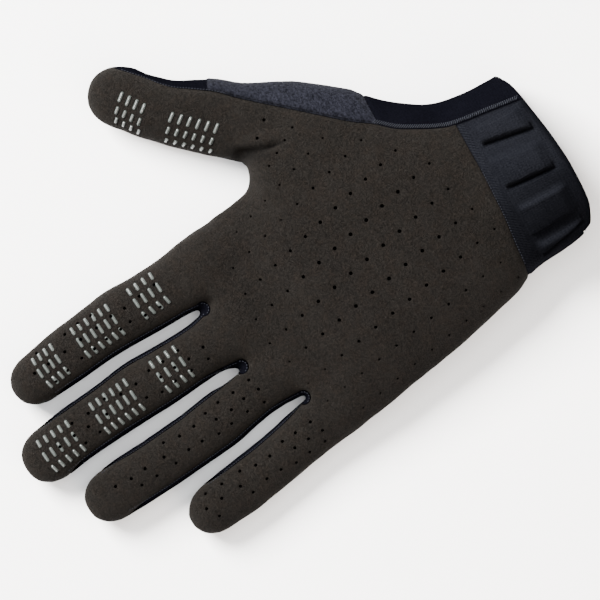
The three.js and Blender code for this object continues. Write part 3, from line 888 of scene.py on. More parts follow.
def shapeSkin(item):
    foldSkin(item)
    points = readPoints(item)
    normals = readNormals(item)
    x, y, z = drawn(points).T
    facing = softStep(0.05, 0.5, normals[:, 2])
    push = np.zeros(len(points))
    onCuff = 1 - softStep(-5.2, -3.4, y)
    push += padHeight(x, y) * onCuff * softStep(-0.15, 0.25, normals[:, 2])
    push += relief["bandRise"] * softStep(-5.8, -4.6, y) * (1 - softStep(-1.6, -0.4, y)) * facing
    edge, _ = toLine(np.column_stack([x, y]), smoothLine(seams["thumbSide"], 3.0))
    beside = (x > np.interp(y, *np.array(seams["thumbSide"]).T[::-1])) * softStep(0.0, 2.2, edge)
    wipe = beside * softStep(22.2, 24.6, y) * softStep(-0.4, 0.8, tipward(x, y))
    push += relief["terryRise"] * wipe * softStep(2.0, 6.0, z)
    near = nearTree(points, range(len(points)))
    tree = treeOf(item)
    for hx, hy, radius in holes:
        centre = tree.ray_cast(place(hx, hy, clear["top"]), Vector((0, 0, -1)))[0]
        reach = radius * relief["dentReach"] * mm
        for _, i, away in near.find_range(centre, reach):
            push[i] -= relief["holeDent"] * (1 - (away / reach) ** 2) ** 2
    free = softStep(0.5, 3.0, z)
    for i, point in enumerate(points):
        if free[i] > 0:
            spot = Vector(point) / mm
            wave = noise.noise(spot / 17) * relief["waves"]
            ripple = noise.noise(spot / 6 + Vector((9, 3, 5))) * relief["ripples"]
            push[i] += (wave + ripple) * free[i]
    writePoints(item, points + normals * (push * mm)[:, None])


foldSkin(hollow)
shapeSkin(outside)
skinTree = treeOf(outside)
skinPoints = readPoints(outside)
skinNormals = readNormals(outside)
skinNear = nearTree(skinPoints, range(len(skinPoints)))
print("shaped skin", len(skinPoints), "points")


def skinNormal(point):
    return Vector(skinNormals[skinNear.find(point)[1]])


# The point of the palm's side of the glove over a place in plan.
def onPalm(x, y):
    return skinTree.ray_cast(place(x, y, clear["top"]), Vector((0, 0, -1)))[0]


# The cloth: the skin less its hollow, open at the wrist.
cloth = copyOf(outside, "cloth")
mouth = bodyLoft("mouth", [(-60, 25.2, 35.9, 34.0), (-28, 26.8, 36.0, 34.0)], 1.0)
carve(cloth, hollow, "DIFFERENCE")
carve(cloth, mouth, "DIFFERENCE")
beyondHem = wristwardTool(smoothLine(seams["hem"]), 0.0)
carve(cloth, beyondHem, "DIFFERENCE")
remove(mouth, beyondHem)
print("cloth", len(cloth.data.polygons), "faces")

panels = {}
for left, right in strip["between"]:
    name = f"fourchette_{left}_{right}"
    panels[name] = takePanel(cloth, name, lambda grow: fourchetteTool(left, right, grow))

side = takePanel(cloth, "side", sideTool)
panels["wrist_side"] = takePanel(
    side, "wrist_side",
    lambda grow: wristwardTool([(x, seams["wristLine"]) for x in clear["wrist"][:2]], grow),
)
panels["thumb_wipe"] = side
panels["thumb_back"] = takePanel(side, "thumb_back", lambda grow: prismObject(
    "thumbEnd", [*offsetLine(smoothLine(seams["wipeLine"]), -grow), *clear["thumbEnd"]],
    lean=seams["wipeLean"],
))
side.name = "thumb_wipe"
above = takePanel(cloth, "above", aboveSeams)
panels["cuff_palm"] = takePanel(above, "cuff_palm", cuffTool)
panels["palm"] = above
panels["cuff_back"] = takePanel(cloth, "cuff_back", cuffTool)
panels["back"] = cloth
above.name = "palm"
cloth.name = "back"


# Drops the crumbs that a cut leaves beside a panel.
def dropCrumbs(item):
    mesh = bmesh.new()
    mesh.from_mesh(item.data)
    mesh.verts.ensure_lookup_table()
    seen = [False] * len(mesh.verts)
    groups = []
    for first in mesh.verts:
        if seen[first.index]:
            continue
        seen[first.index] = True
        group = [first]
        for vertex in group:
            for edge in vertex.link_edges:
                other = edge.other_vert(vertex)
                if not seen[other.index]:
                    seen[other.index] = True
                    group.append(other)
        groups.append(group)
    largest = max(len(group) for group in groups)
    crumbs = [group for group in groups if len(group) < largest * 0.1]
    for group in crumbs:
        bmesh.ops.delete(mesh, geom=group, context="VERTS")
    mesh.to_mesh(item.data)
    mesh.free()
    return len(crumbs), len(groups) - len(crumbs)


# Where a finger's strip runs out beside the fingertip
def stripEnd(digit, side):
    edge = fingerEdge(digit, np.array([rowsEnd(digit)]), side, 0.0)[0]
    return edge + digitLine(digit)[1][:2] * digit["tip"] * strip["tipShare"]


stripEnds = [
    stripEnd(digits[name], side) for pair in strip["between"] for name, side in zip(pair, (1, -1))
]


# Rolls a panel's edges in towards its seams, so that each panel swells between them. At the
# strips' ends and the thumb's tip, where a seam meets the glove's outline, they lie flat.
def tuckEdges(item, deep, wide):
    points = readPoints(item)
    outer = np.zeros(len(points), bool)
    for i, point in enumerate(points):
        hit = skinTree.find_nearest(point)
        outer[i] = hit[3] < 0.004 * mm
    edgePoints = set()
    for polygon in item.data.polygons:
        corners = polygon.vertices
        flags = [outer[i] for i in corners]
        if not all(flags):
            edgePoints.update(i for i, flag in zip(corners, flags) if flag)
    near = nearTree(points, edgePoints)
    plan = drawn(points)[:, :2]
    shallow = 1 - softStep(80, 90, plan[:, 0])
    for spot in stripEnds:
        shallow *= softStep(2.5, 7.0, np.hypot(*(plan - spot).T))
    for i in np.nonzero(outer)[0]:
        away = near.find(points[i])[2] / mm
        if away < wide:
            roll = (1 - away / wide) ** 2 * shallow[i]
            points[i] -= np.array(skinNormal(points[i])) * deep * roll * mm
    writePoints(item, points)


tucks = {
    "palm": (0.62, 1.7), "back": (0.7, 1.8), "cuff_palm": (0.75, 1.6), "cuff_back": (0.8, 2.0),
    "wrist_side": (0.7, 1.8), "thumb_wipe": (0.2, 1.3), "thumb_back": (0.35, 1.4),
}
for name, panel in panels.items():
    dropped, kept = dropCrumbs(panel)
    tuckEdges(panel, *tucks.get(name, (0.45, 1.1)))


# The holes, cut square to the cloth
def holeTool():
    sides = perforation["sides"]
    points = []
    faces = []
    for x, y, radius in holes:
        centre = onPalm(x, y)
        normal = skinNormal(centre)
        turn = Vector((0, 0, 1)).rotation_difference(normal).to_matrix()
        base = len(points)
        for height in perforation["through"]:
            for k in range(sides):
                angle = 2 * math.pi * k / sides
                spot = Vector((math.cos(angle) * radius, math.sin(angle) * radius, height))
                points.append(centre + turn @ spot * mm)
        faces.append(tuple(base + k for k in range(sides - 1, -1, -1)))
        faces.append(tuple(base + sides + k for k in range(sides)))
        for k in range(sides):
            after = (k + 1) % sides
            faces.append((base + k, base + after, base + sides + after, base + sides + k))
    return meshObject("holeTool", points, faces)


pins = holeTool()
carve(panels["palm"], pins, "DIFFERENCE")
print("perforated palm", len(panels["palm"].data.polygons), "faces")

# The grip: raised dashes across the fingers. A patch is drawn by the first and last dash of
# each column, in mm from the palm's middle, the dashes' length there and how they are turned.
grip = {"long": 3.7, "wide": 1.25, "high": 0.42, "sink": 0.25}
gripPatches = [
    {"rows": 4, "turns": (-52, -52, -52), "columns": [
        ((81, 21.5), (88.5, 26.5), 2.6), ((84, 19.5), (91.5, 24.5), 3.1),
        ((87.5, 16), (95, 21), 4.1)]},
    {"rows": 6, "turns": (-52, -52, -52), "columns": [
        ((62.5, 2.2), (73.5, 14.2), 2.2), ((65.3, 0.2), (76.3, 12), 3.0),
        ((68.5, -3.5), (79.8, 8.7), 4.1)]},
    {"rows": 4, "turns": (13, 5, 5), "columns": [
        ((17.2, 93.5), (18.6, 85.7), 3.5),
        ((22.2, 94.5), (23.7, 86.4), 3.9), ((27, 94.5), (28.5, 86.5), 3.5)]},
    {"rows": 6, "turns": (13, 5, 5), "columns": [
        ((20, 76.2), (21.2, 61.4), 3.5),
        ((25, 76.7), (26.3, 61.8), 4.1), ((29.8, 77), (31.2, 62.1), 3.5)]},
    {"rows": 4, "turns": (13, 5, 5), "columns": [
        ((22.3, 51.5), (23.3, 41.8), 3.5),
        ((27.5, 52), (28.6, 42.3), 4.1), ((32.3, 52.4), (33.5, 42.7), 3.5)]},
    {"rows": 5, "turns": (13, 5, 5), "columns": [
        ((-10.2, 106.5), (-8.6, 94), 3.4),
        ((-5, 107.3), (-3.6, 94.7), 4.0), ((0.3, 107.2), (1.6, 94.8), 3.4)]},
    {"rows": 6, "turns": (13, 5, 5), "columns": [
        ((-7.4, 83.3), (-6.1, 68.3), 3.5),
        ((-2.4, 83.9), (-0.8, 69), 4.1), ((2.8, 84.1), (4.5, 69.3), 3.6)]},
    {"rows": 4, "turns": (13, 5, 5), "columns": [
        ((-5, 56.9), (-4.1, 47), 3.5),
        ((0.2, 57.5), (1.2, 47.7), 4.1), ((5.5, 57.9), (6.4, 48.1), 3.6)]},
]


# One dash, modelled once: a bar with round ends and a domed top.
def dashModel():
    deselectAll()
    bpy.ops.mesh.primitive_cube_add(size=1)
    dash = bpy.context.active_object
    dash.name = "dashModel"
    bpy.ops.object.mode_set(mode="EDIT")
    bpy.ops.mesh.select_all(action="SELECT")
    bpy.ops.transform.resize(value=(grip["long"], grip["wide"], grip["high"] + grip["sink"]))
    bpy.ops.transform.translate(value=(0, 0, (grip["high"] - grip["sink"]) / 2))
    bpy.ops.mesh.select_all(action="DESELECT")
    bpy.ops.object.mode_set(mode="OBJECT")
    for edge in dash.data.edges:
        a, b = (dash.data.vertices[i].co for i in edge.vertices)
        edge.select = abs(a.z - b.z) > 0.1
    bpy.ops.object.mode_set(mode="EDIT")
    bpy.ops.mesh.select_mode(type="EDGE")
    bpy.ops.mesh.bevel(offset=grip["wide"] * 0.46, segments=3, affect="EDGES")
    bpy.ops.mesh.select_all(action="DESELECT")
    bpy.ops.object.mode_set(mode="OBJECT")
    for polygon in dash.data.polygons:
        polygon.select = polygon.normal.z > 0.9
    bpy.ops.object.mode_set(mode="EDIT")
    bpy.ops.mesh.select_mode(type="FACE")
    bpy.ops.mesh.inset(thickness=0.16, depth=0.0)
    bpy.ops.transform.translate(value=(0, 0, 0.12))
    bpy.ops.mesh.inset(thickness=0.2, depth=0.0)
    bpy.ops.transform.translate(value=(0, 0, 0.05))
    bpy.ops.object.mode_set(mode="OBJECT")
    return dash


# Lays a small model on the palm: its X along the surface at an angle in plan, its Z outwards.
def layOnPalm(model, x, y, angle, stretch):
    centre = onPalm(x, y)
    normal = skinNormal(centre)
    way = Vector((math.cos(math.radians(angle)), math.sin(math.radians(angle)), 0))
    way = (way - normal * way.dot(normal)).normalized()
    over = normal.cross(way)
    points = []
    for spot in readPoints(model):
        base = centre + (way * spot[0] * stretch + over * spot[1]) * mm
        hit = skinTree.ray_cast(base + normal * 4 * mm, -normal)
        if hit[0] is not None and (hit[0] - base).length < 2.5 * mm:
            base = hit[0]
        points.append(base + normal * spot[2] * mm)
    return points


def layCopies(name, model, spots):
    faces = [tuple(polygon.vertices) for polygon in model.data.polygons]
    allPoints = []
    allFaces = []
    for x, y, angle, stretch in spots:
        base = len(allPoints)
        allPoints += layOnPalm(model, x, y, angle, stretch)
        allFaces += [tuple(base + i for i in face) for face in faces]
    return meshObject(name, allPoints, allFaces)


def gripSpots():
    spots = []
    for patch in gripPatches:
        for turn, ((x0, y0), (x1, y1), long) in zip(patch["turns"], patch["columns"]):
            for i in range(patch["rows"]):
                share = i / (patch["rows"] - 1)
                x = x0 + (x1 - x0) * share
                y = y0 + (y1 - y0) * share
                spots.append((x, y + perforation["seamAbove"], turn, long / grip["long"]))
    return spots


dash = dashModel()
dashes = layCopies("grip_dashes", dash, gripSpots())
carve(dashes, pins, "DIFFERENCE")
remove(dash, pins)
print("grip dashes", len(dashes.data.polygons), "faces")

# The stitches: short threads laid along the seams
stitching = {
    "long": 1.5,
    "thick": 0.13,
    "gap": 0.6,
    "fromSeam": 0.75,
    "dotLong": 0.55,
    "dotPitch": 1.05,
    "dotTurn": 12,
    "fromStrip": 0.18,
    "pastCrotch": 0.5,
    "overlockPitch": 0.8,
    "overlockLong": 1.9,
    "overlockTurn": 58,
    "overlockFrom": -26.2,  # where the coarse thread starts, at the hem
}


# One thread: a short round bar whose two ends dip into the cloth.
def threadModel(long, thick):
    deselectAll()
    bpy.ops.mesh.primitive_cylinder_add(
        vertices=6, radius=thick, depth=long * 0.5, rotation=(0, math.pi / 2, 0),
    )
    thread = bpy.context.active_object
    thread.name = "threadModel"
    bpy.ops.object.transform_apply(location=True, rotation=True, scale=True)
    for side in (1, -1):
        for reach, sink, shrink in ((0.16, -0.03, 0.85), (0.09, -0.12, 0.5)):
            for polygon in thread.data.polygons:
                polygon.select = polygon.normal.x * side > 0.9
            bpy.ops.object.mode_set(mode="EDIT")
            bpy.ops.mesh.select_mode(type="FACE")
            move = {"value": (side * reach * long, 0, sink)}
            bpy.ops.mesh.extrude_region_move(TRANSFORM_OT_translate=move)
            bpy.ops.transform.resize(value=(1, shrink, shrink))
            bpy.ops.object.mode_set(mode="OBJECT")
            for vertex in thread.data.vertices:
                vertex.select = False
            thread.data.update()
    for vertex in thread.data.vertices:
        vertex.co.z += thick * 0.35
    return thread


# Places along a line in plan, with the line's direction in degrees.
def alongLine(line, pitch, start, end):
    line = np.asarray(line, float)
    along = np.concatenate([[0], np.cumsum(np.hypot(*np.diff(line, axis=0).T))])
    places = np.arange(along[-1] * start + pitch / 2, along[-1] * end, pitch)

    def readAt(where):
        return np.column_stack([np.interp(where, along, line[:, k]) for k in (0, 1)])

    spots = readAt(places)
    ahead = readAt(places + 0.3) - readAt(places - 0.3)
    return [(float(x), float(y), math.degrees(math.atan2(b, a))) for (x, y), (a, b) in zip(spots, ahead)]


# A row of threads along a line, where they lie on the glove: x, y, angle and stretch
def threadRow(line, pitch, turn, long, start=0.0, end=1.0):
    stretch = long / stitching["long"]
    spots = alongLine(line, pitch, start, end)
    return [(x, y, angle + turn, stretch) for x, y, angle in spots if onPalm(x, y) is not None]


def dotRow(line, start=0.0, end=1.0):
    pitch, turn, long = (stitching[key] for key in ("dotPitch", "dotTurn", "dotLong"))
    return threadRow(line, pitch, turn, long, start, end)


def stripLine(digitName, side, crotch):
    digit = digits[digitName]
    start = crotchAlong(digit, crotch) + stitching["pastCrotch"]
    places = np.linspace(start, rowsEnd(digit), 60)
    line = fingerEdge(digit, places, side, strip["show"][side] + stitching["fromStrip"])
    return keepNear(line, crotch, strip["round"] + stitching["fromStrip"])


# The dark stitches that hold the wipe panel
def panelStitches():
    line = offsetLine(smoothLine(seams["thumbSide"]), -stitching["fromSeam"])
    pitch = stitching["long"] + stitching["gap"]
    return threadRow(line, pitch, 0, stitching["long"], 0.36, 0.73)


# The fine light stitches where a strip meets the suede
def stripStitches():
    spots = []
    for left, right in strip["between"]:
        crotch = crotches[right]
        spots += dotRow(stripLine(left, 1, crotch))
        spots += dotRow(stripLine(right, -1, crotch))
        turn = np.radians(np.arange(0, 181, 6)) + math.radians(crotch["lean"]) + math.pi
        radius = strip["round"] + stitching["fromStrip"]
        ring = radius * np.column_stack([np.cos(turn), np.sin(turn)])
        spots += dotRow(np.array(crotch["tip"]) + ring)
    return spots


# The light threads: those of the strips, the coarse ones of the wrist and the fine ones beyond it
def overlockStitches():
    thumbSide = smoothLine(seams["thumbSide"])
    pitch, turn, long = (stitching[key] for key in ("overlockPitch", "overlockTurn", "overlockLong"))
    coarse = threadRow(offsetLine(thumbSide, -0.95), pitch, turn, long, 0.0, 0.37)
    spots = stripStitches() + [spot for spot in coarse if spot[1] > stitching["overlockFrom"]]
    spots += dotRow(offsetLine(thumbSide, -0.2), 0.72, 0.97)
    cuff = smoothLine([point for point in seams["cuff"] if -31 <= point[0] <= 28])
    return spots + dotRow(offsetLine(cuff, -0.45))


thread = threadModel(stitching["long"], stitching["thick"])
stitches = layCopies("stitches", thread, panelStitches())
overlock = layCopies("overlock", thread, overlockStitches())
remove(thread, outside, hollow)
print("stitches", len(stitches.data.polygons), "faces, overlock", len(overlock.data.polygons))


# Shader sums: a signal is one socket of a node, and an expression on signals adds its nodes.
class Signal:
    def __init__(self, finish, socket):
        self.finish = finish
        self.socket = socket

    def math(self, operation, *terms):
        return self.finish.node("ShaderNodeMath", {"operation": operation}, dict(enumerate(terms)))

    def __add__(self, other):
        return self.math("ADD", self, other)

    __radd__ = __add__

    def __sub__(self, other):
        return self.math("SUBTRACT", self, other)

    def __rsub__(self, other):
        return self.math("SUBTRACT", other, self)

    def __mul__(self, other):
        return self.math("MULTIPLY", self, other)

    def sine(self):
        return self.math("SINE", self)

    def size(self):
        return self.math("ABSOLUTE", self)

    def step(self, low, high):
        settings = {"interpolation_type": "SMOOTHSTEP"}
        sockets = {"Value": self, "From Min": low, "From Max": high}
        return self.finish.node("ShaderNodeMapRange", settings, sockets)


class Finish:
    def __init__(self, name):
        self.material = bpy.data.materials.new(name)
        self.material.use_nodes = True
        self.tree = self.material.node_tree
        self.shader = self.tree.nodes["Principled BSDF"]
        self.place = self.node("ShaderNodeTexCoord", {}, {}, "Object")

    def node(self, kind, settings, sockets, output=0):
        node = self.tree.nodes.new(kind)
        for key, value in settings.items():
            setattr(node, key, value)
        for key, value in sockets.items():
            self.feed(node.inputs[key], value)
        return Signal(self, node.outputs[output])

    def feed(self, socket, value):
        if isinstance(value, Signal):
            self.tree.links.new(value.socket, socket)
        else:
            socket.default_value = value

    def noise(self, size, detail, rough, place=None):
        sockets = {"Vector": place or self.place, "Scale": 1 / size, "Detail": detail}
        return self.node("ShaderNodeTexNoise", {}, {**sockets, "Roughness": rough}, "Fac")

    def colours(self, factor, first, second, blend="MIX"):
        settings = {"data_type": "RGBA", "blend_type": blend}
        return self.node("ShaderNodeMix", settings, {0: factor, 6: first, 7: second}, 2)

    def axes(self, place=None):
        sockets = {"Vector": place or self.place}
        return [self.node("ShaderNodeSeparateXYZ", {}, sockets, axis) for axis in "XYZ"]

    def bump(self, height, distance, strength, normal=None):
        sockets = {"Height": height, "Distance": distance, "Strength": strength}
        if normal:
            sockets["Normal"] = normal
        return self.node("ShaderNodeBump", {}, sockets)

    # Darkens the colour with painted shade where a piece marks it: in grooves and folds and beside
    # seams.
    def paintedShade(self, base, strength):
        mark = self.node("ShaderNodeAttribute", {"attribute_name": "paintedShade"}, {}, "Fac")
        return self.colours(mark * strength, base, (0.0003, 0.0003, 0.0004, 1.0))

    def set(self, **values):
        for key, value in values.items():
            self.feed(self.shader.inputs[key.replace("_", " ")], value)


suedeLook = {
    "dark": (0.0009, 0.0008, 0.0007, 1.0),
    "light": (0.0069, 0.006, 0.0053, 1.0),
    "fibre": (0.024, 0.0211, 0.0186, 1.0),
    "rust": (0.54, 0.47, 0.42, 1.0),
    "blotch": 0.02,
    "warmth": 0.004,
    "nap": 0.0012,
    "fibreSize": 0.0006,
    "clump": 0.00075,
    "shares": (0.14, 0.36, 0.6),  # of the blotches, the nap and the fibres in the tone
}


def suedeFinish():
    finish = Finish("suede")
    blotch = finish.noise(suedeLook["blotch"], 3.0, 0.55).step(0.3, 0.72)
    nap = finish.noise(suedeLook["nap"], 4.0, 0.75).step(0.3, 0.7)
    fine = finish.noise(suedeLook["fibreSize"], 3.0, 0.75).step(0.3, 0.7)
    ofBlotch, ofNap, ofFine = suedeLook["shares"]
    tone = blotch * ofBlotch + nap * ofNap + fine * ofFine - 0.05
    base = finish.colours(tone, suedeLook["dark"], suedeLook["light"])
    warm = finish.noise(suedeLook["warmth"], 2.0, 0.6).step(0.4, 0.65)
    base = finish.colours(warm * 0.5, base, suedeLook["rust"], "SOFT_LIGHT")
    fibres = finish.noise(suedeLook["clump"], 2.0, 0.85).step(0.6, 0.78) * 0.4
    base = finish.colours(fibres, base, suedeLook["fibre"])
    # The colour takes painted shade in and beside the thumb's fold.
    finish.set(Base_Color=finish.paintedShade(base, 0.7), Roughness=0.93)
    finish.set(Sheen_Weight=0.02, Sheen_Roughness=0.6, Sheen_Tint=(0.5, 0.46, 0.41, 1.0))
    finish.set(Specular_IOR_Level=0.03)
    low = finish.bump(nap, 0.00025, 0.5)
    finish.set(Normal=finish.bump(fine, 0.00018, 0.6, low))
    return finish.material


# Knitted cloth: fine ribs along each face's own two directions. The twill is a slanting rib on
# the cuff beside the palm's seam.
def knitFinish(name, look):
    finish = Finish(name)
    x, y, z = finish.axes()
    facing = finish.node("ShaderNodeTexCoord", {}, {}, "Normal")
    nx, ny, nz = (axis.size() for axis in finish.axes(facing))
    turn = 2 * math.pi / look["pitch"]

    def loops(u, v):
        return (u * turn).sine() * 0.5 + (v * turn * 0.7 + (u * turn).sine() * 0.8).sine() * 0.5

    top = loops(x, y) * nz.step(0.45, 0.75)
    front = loops(x, z) * ny.step(0.5, 0.8)
    flank = loops(y, z) * nx.step(0.5, 0.8)
    weave = (top + front + flank) * 0.5 + 0.5
    patch = finish.noise(0.012, 3.0, 0.6)
    fuzz = finish.noise(look["grain"], 2.0, 0.75).step(0.3, 0.7)
    mask = weave * look["ribs"] + patch * 0.3 + fuzz * look["fuzz"] - 0.1
    if "twill" in look:
        slant = ((x * 0.8 - y * 0.6) * (2 * math.pi / look["twill"])).sine()
        low, high = (place(0, at).y for at in look["band"])
        mask = mask + slant * y.step(low, high) * nz.step(0.3, 0.7) * 0.2
    # The colour takes painted shade where the cuff marks it: its grooves, its side towards the little
    # finger, its seam and its hem.
    finish.set(Base_Color=finish.paintedShade(finish.colours(mask, look["dark"], look["light"]), 0.85))
    finish.set(Roughness=0.85, Specular_IOR_Level=look["shine"])
    low = finish.bump(patch, 0.0004, 0.3)
    finish.set(Normal=finish.bump(weave * 0.6 + fuzz * 0.4, 0.00012, 0.7, low))
    return finish.material


terryLook = {
    "dark": (0.0009, 0.001, 0.0016, 1.0),
    "light": (0.0135, 0.014, 0.0195, 1.0),
    "loop": 0.0007,
    "clump": 0.0018,
    "streak": 0.0009,
    "turn": 35,
}


def terryFinish():
    finish = Finish("terry")
    sockets = {"Vector": finish.place, "Scale": 1 / terryLook["loop"], "Randomness": 0.9}
    loops = 1 - finish.node("ShaderNodeTexVoronoi", {}, sockets, "Distance")
    clumps = finish.noise(terryLook["clump"], 3.0, 0.65)
    turn = (0, 0, math.radians(terryLook["turn"]))
    turned = {"Vector": finish.place, "Rotation": turn, "Scale": (0.35, 1.0, 1.0)}
    lean = finish.node("ShaderNodeMapping", {}, turned)
    fuzz = finish.noise(terryLook["streak"], 3.0, 0.75, lean).step(0.3, 0.7)
    mask = loops * 0.4 + clumps * 0.25 + fuzz * 0.4 - 0.2
    base = finish.colours(mask, terryLook["dark"], terryLook["light"])
    # The colour takes a painted shadow beside the wipe panel's seam.
    finish.set(Base_Color=finish.paintedShade(base, 0.75), Roughness=1.0)
    finish.set(Sheen_Weight=0.01, Sheen_Roughness=0.5, Sheen_Tint=(0.5, 0.52, 0.6, 1.0))
    finish.set(Specular_IOR_Level=0.02)
    low = finish.bump(clumps, 0.0006, 0.6)
    finish.set(Normal=finish.bump(loops * 0.6 + fuzz * 0.4, 0.00035, 0.8, low))
    return finish.material


gripLook = {
    "dark": (0.022, 0.0255, 0.024, 1.0),
    "light": (0.058, 0.066, 0.062, 1.0),
    "mottle": 0.0012,
    "grain": 0.0006,
}


def gripFinish():
    finish = Finish("grip")
    mottle = finish.noise(gripLook["mottle"], 3.0, 0.6)
    finish.set(Base_Color=finish.colours(mottle, gripLook["dark"], gripLook["light"]))
    finish.set(Roughness=0.28 + mottle * 0.2, Coat_Weight=0.45, Coat_Roughness=0.15)
    grain = finish.noise(gripLook["grain"], 2.0, 0.5)
    finish.set(Normal=finish.bump(grain, 0.00006, 0.5))
    return finish.material


threadLook = {
    "twist": 0.00045,
    "thread": ((0.0003, 0.0003, 0.0006, 1.0), (0.0012, 0.0012, 0.002, 1.0)),
    "overlock": ((0.005, 0.0055, 0.0075, 1.0), (0.028, 0.03, 0.037, 1.0)),
}


def threadFinish(name):
    finish = Finish(name)
    x, y, z = finish.axes()
    twist = ((x + y + z) * (2 * math.pi / threadLook["twist"])).sine() * 0.5 + 0.5
    finish.set(Base_Color=finish.colours(twist, *threadLook[name]))
    finish.set(Roughness=0.7, Specular_IOR_Level=0.03)
    finish.set(Normal=finish.bump(twist, 0.00004, 0.6))
    return finish.material


blackKnit = {
    "dark": (0.0004, 0.0004, 0.0007, 1.0),
    "light": (0.0024, 0.0025, 0.0039, 1.0),
    "pitch": 0.00062,
    "grain": 0.0006,
    "ribs": 0.35,
    "fuzz": 0.4,
    "shine": 0.0,
}
cuffKnit = {
    "dark": (0.0008, 0.0009, 0.0015, 1.0),
    "light": (0.0088, 0.0093, 0.0116, 1.0),
    "pitch": 0.00085,
    "grain": 0.00042,
    "ribs": 0.2,
    "fuzz": 0.45,
    "shine": 0.0,
    "twill": 0.0009,
    "band": (-6.0, -4.0),
}
stretch = knitFinish("stretch", blackKnit)
moulded = knitFinish("moulded", cuffKnit)
finishes = {
    "palm": (suedeFinish(), "suede"),
    "thumb_wipe": (terryFinish(), "terry"),
    "cuff_palm": (moulded, "moulded"),
}


# Marks painted shade, where the cloth is drawn darker than it is: the cuff's grooves and its side
# towards the little finger, which turns from the light, the thumb's fold, and beside the seams of
# the cuff and the wipe panel and along the cuff's hem.
def markPaintedShade(item, amounts):
    paintedShade = item.data.attributes.new("paintedShade", "FLOAT", "POINT")
    paintedShade.data.foreach_set("value", np.clip(amounts, 0, 1))


# Of each mark of painted shade: how wide it is in mm and how dark
shadeMarks = {
    "cuffSeam": (0.8, 0.8),
    "hem": (2.2, 0.75),
    "shade": (2.8, 0.9),
    "crease": (0.7, 1.0),
    "wipeSeam": (1.0, 0.7),
    "shadeShift": (-1.2, 0.6),  # from the fold's line to the shade beside it
    "cuffSide": 0.6,
    # The pads' lips stand up into the light, so the painted shade on the cuff's side is lifted there.
    "onLips": 0.9,  # how much paler the pads' lips stay
}


# A mark of painted shade along a line in plan, and how far along it each place is
def lineMark(plan, line, key):
    away, along = toLine(plan, line)
    wide, dark = shadeMarks[key]
    return np.exp(-((away / wide) ** 2)) * dark, along


def planOf(item):
    return drawn(readPoints(item))[:, :2]


def markCuff():
    plan = planOf(panels["cuff_palm"])
    # Painted shade beside the seam towards the thumb and along the hem, where the edges roll in.
    seam, _ = lineMark(plan, seams["thumbSide"], "cuffSeam")
    hem, _ = lineMark(plan, seams["hem"], "hem")
    x, y = plan.T
    # Painted shade on the cuff's side towards the little finger, where the cloth turns away from the
    # light; it stops short of the outer edge, which the fill light reaches.
    side = (1 - softStep(-13, 7, x)) * softStep(-31, -27, x)
    side = side * (1 - shadeMarks["onLips"] * lipAt(x, y)) * shadeMarks["cuffSide"]
    edges = np.maximum(seam, hem)
    # The grooves themselves take painted shade as well as their dent.
    markPaintedShade(panels["cuff_palm"], np.maximum(grooveAt(x, y), np.maximum(edges, side)))


def markPalm():
    plan = planOf(panels["palm"])
    # Painted shade on the lower side of the thumb's fold, where its step turns from the light, and a
    # thin painted dark line in its crease.
    beside = np.array(relief["thumbFold"]) + shadeMarks["shadeShift"]
    shade, along = lineMark(plan, beside, "shade")
    shade = shade * (1 - softStep(0.4, 0.9, along))
    crease, along = lineMark(plan, relief["thumbFold"], "crease")
    crease = crease * softStep(0.1, 0.4, along) * (1 - softStep(0.8, 1.0, along))
    markPaintedShade(panels["palm"], np.maximum(shade, crease))


markCuff()
markPalm()


def finishPiece(item, material, slot, angle=40):
    item.data.materials.clear()
    item.data.materials.append(material)
    choose(item)
    bpy.ops.object.shade_smooth_by_angle(angle=math.radians(angle))
    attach(item, "root")


# The towelling's loops stand up a little, each at its own height.
def fluffTerry(item, high):
    applyModifier(item, "SUBSURF", levels=1, render_levels=1, subdivision_type="SIMPLE")
    points = readPoints(item)
    normals = readNormals(item)
    free = softStep(0.5, 3.0, drawn(points)[:, 2]) * high * mm
    for i, point in enumerate(points):
        spot = Vector(point) / mm
        loop = noise.noise(spot * 1.1) + 0.6 * noise.noise(spot * 2.3 + Vector((4, 1, 7)))
        points[i] += normals[i] * loop * free[i]
    writePoints(item, points)


fluffTerry(panels["thumb_wipe"], 0.14)
# A painted shadow on the towelling beside its seam to the suede.
wipeSeam, _ = lineMark(planOf(panels["thumb_wipe"]), seams["thumbSide"], "wipeSeam")
markPaintedShade(panels["thumb_wipe"], wipeSeam)
for name, panel in panels.items():
    panel.name = f"cloth_{name}"
    panel.data.name = panel.name
    finishPiece(panel, *finishes.get(name, (stretch, "stretch")))
    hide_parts(name)
finishPiece(dashes, gripFinish(), "suede", 35)
finishPiece(stitches, threadFinish("thread"), "stretch")
finishPiece(overlock, threadFinish("overlock"), "stretch")
print("finishes set on", len(panels) + 3, "pieces")

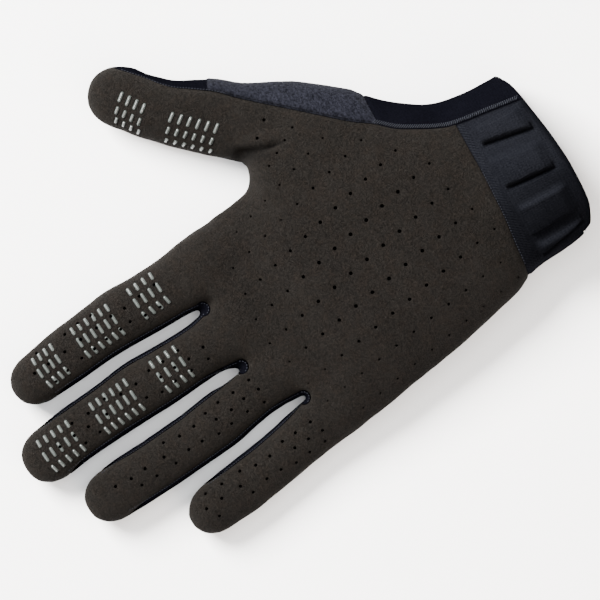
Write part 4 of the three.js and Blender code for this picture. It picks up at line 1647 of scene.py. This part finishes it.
# The photograph's view: straight down, with the fingers towards the lower left.
view = {
    "pixels": 600,
    "scale": 0.36,  # mm to a pixel at the middle height of the glove
    "roll": 29.0,  # from the photo's right edge to the wrist
    "lens": 400.0,
    "sensor": 36.0,
    "level": 12.0,
}
studio = {
    "floor": 0.93,
    "world": 0.62,
    "key": {"from": (1.15, 0.5, 1.15), "size": 0.8, "power": 245.0, "tint": (1.0, 0.98, 0.96)},
    "fill": {"from": (-0.65, -0.1, 0.45), "size": 0.6, "power": 8.0, "tint": (1.0, 0.86, 0.74)},
    "top": {"from": (0.0, 0.0, 1.1), "size": 0.9, "power": 14.0, "tint": (0.97, 0.98, 1.0)},
}


def makeFloor():
    deselectAll()
    bpy.ops.mesh.primitive_plane_add(size=4)
    floor = bpy.context.active_object
    floor.name = "floor"
    finish = Finish("floor")
    tone = studio["floor"]
    finish.set(Base_Color=(tone, tone, tone, 1.0), Roughness=0.9)
    floor.data.materials.append(finish.material)


def makeLight(name, light):
    deselectAll()
    start = Vector(light["from"])
    aim = (-start).to_track_quat("-Z", "Y").to_euler()
    bpy.ops.object.light_add(type="AREA", location=start, rotation=aim)
    lamp = bpy.context.active_object
    lamp.name = name
    lamp.data.size = light["size"]
    lamp.data.energy = light["power"]
    lamp.data.color = light["tint"]


def makeCamera():
    turn = math.radians(view["roll"])
    right = Vector((-math.sin(turn), -math.cos(turn), 0))
    up = Vector((math.cos(turn), -math.sin(turn), 0))
    frameWide = view["pixels"] * view["scale"] * mm
    distance = view["lens"] / view["sensor"] * frameWide
    middle = place(0, perforation["seamAbove"], view["level"] + distance / mm)
    rows = [[right[i], up[i], (0, 0, 1)[i], middle[i]] for i in range(3)] + [[0, 0, 0, 1]]
    deselectAll()
    bpy.ops.object.camera_add()
    camera = bpy.context.active_object
    camera.name = "camera"
    camera.matrix_world = Matrix(rows)
    camera.data.lens = view["lens"]
    camera.data.sensor_width = view["sensor"]
    camera.data.clip_end = 20
    bpy.context.scene.camera = camera


def makeWorld():
    world = bpy.data.worlds.new("studio")
    world.use_nodes = True
    tone = studio["world"]
    world.node_tree.nodes["Background"].inputs["Color"].default_value = (tone, tone, tone, 1.0)
    bpy.context.scene.world = world


makeFloor()
for name in ("key", "fill", "top"):
    makeLight(name, studio[name])
makeCamera()
makeWorld()
print("studio ready")
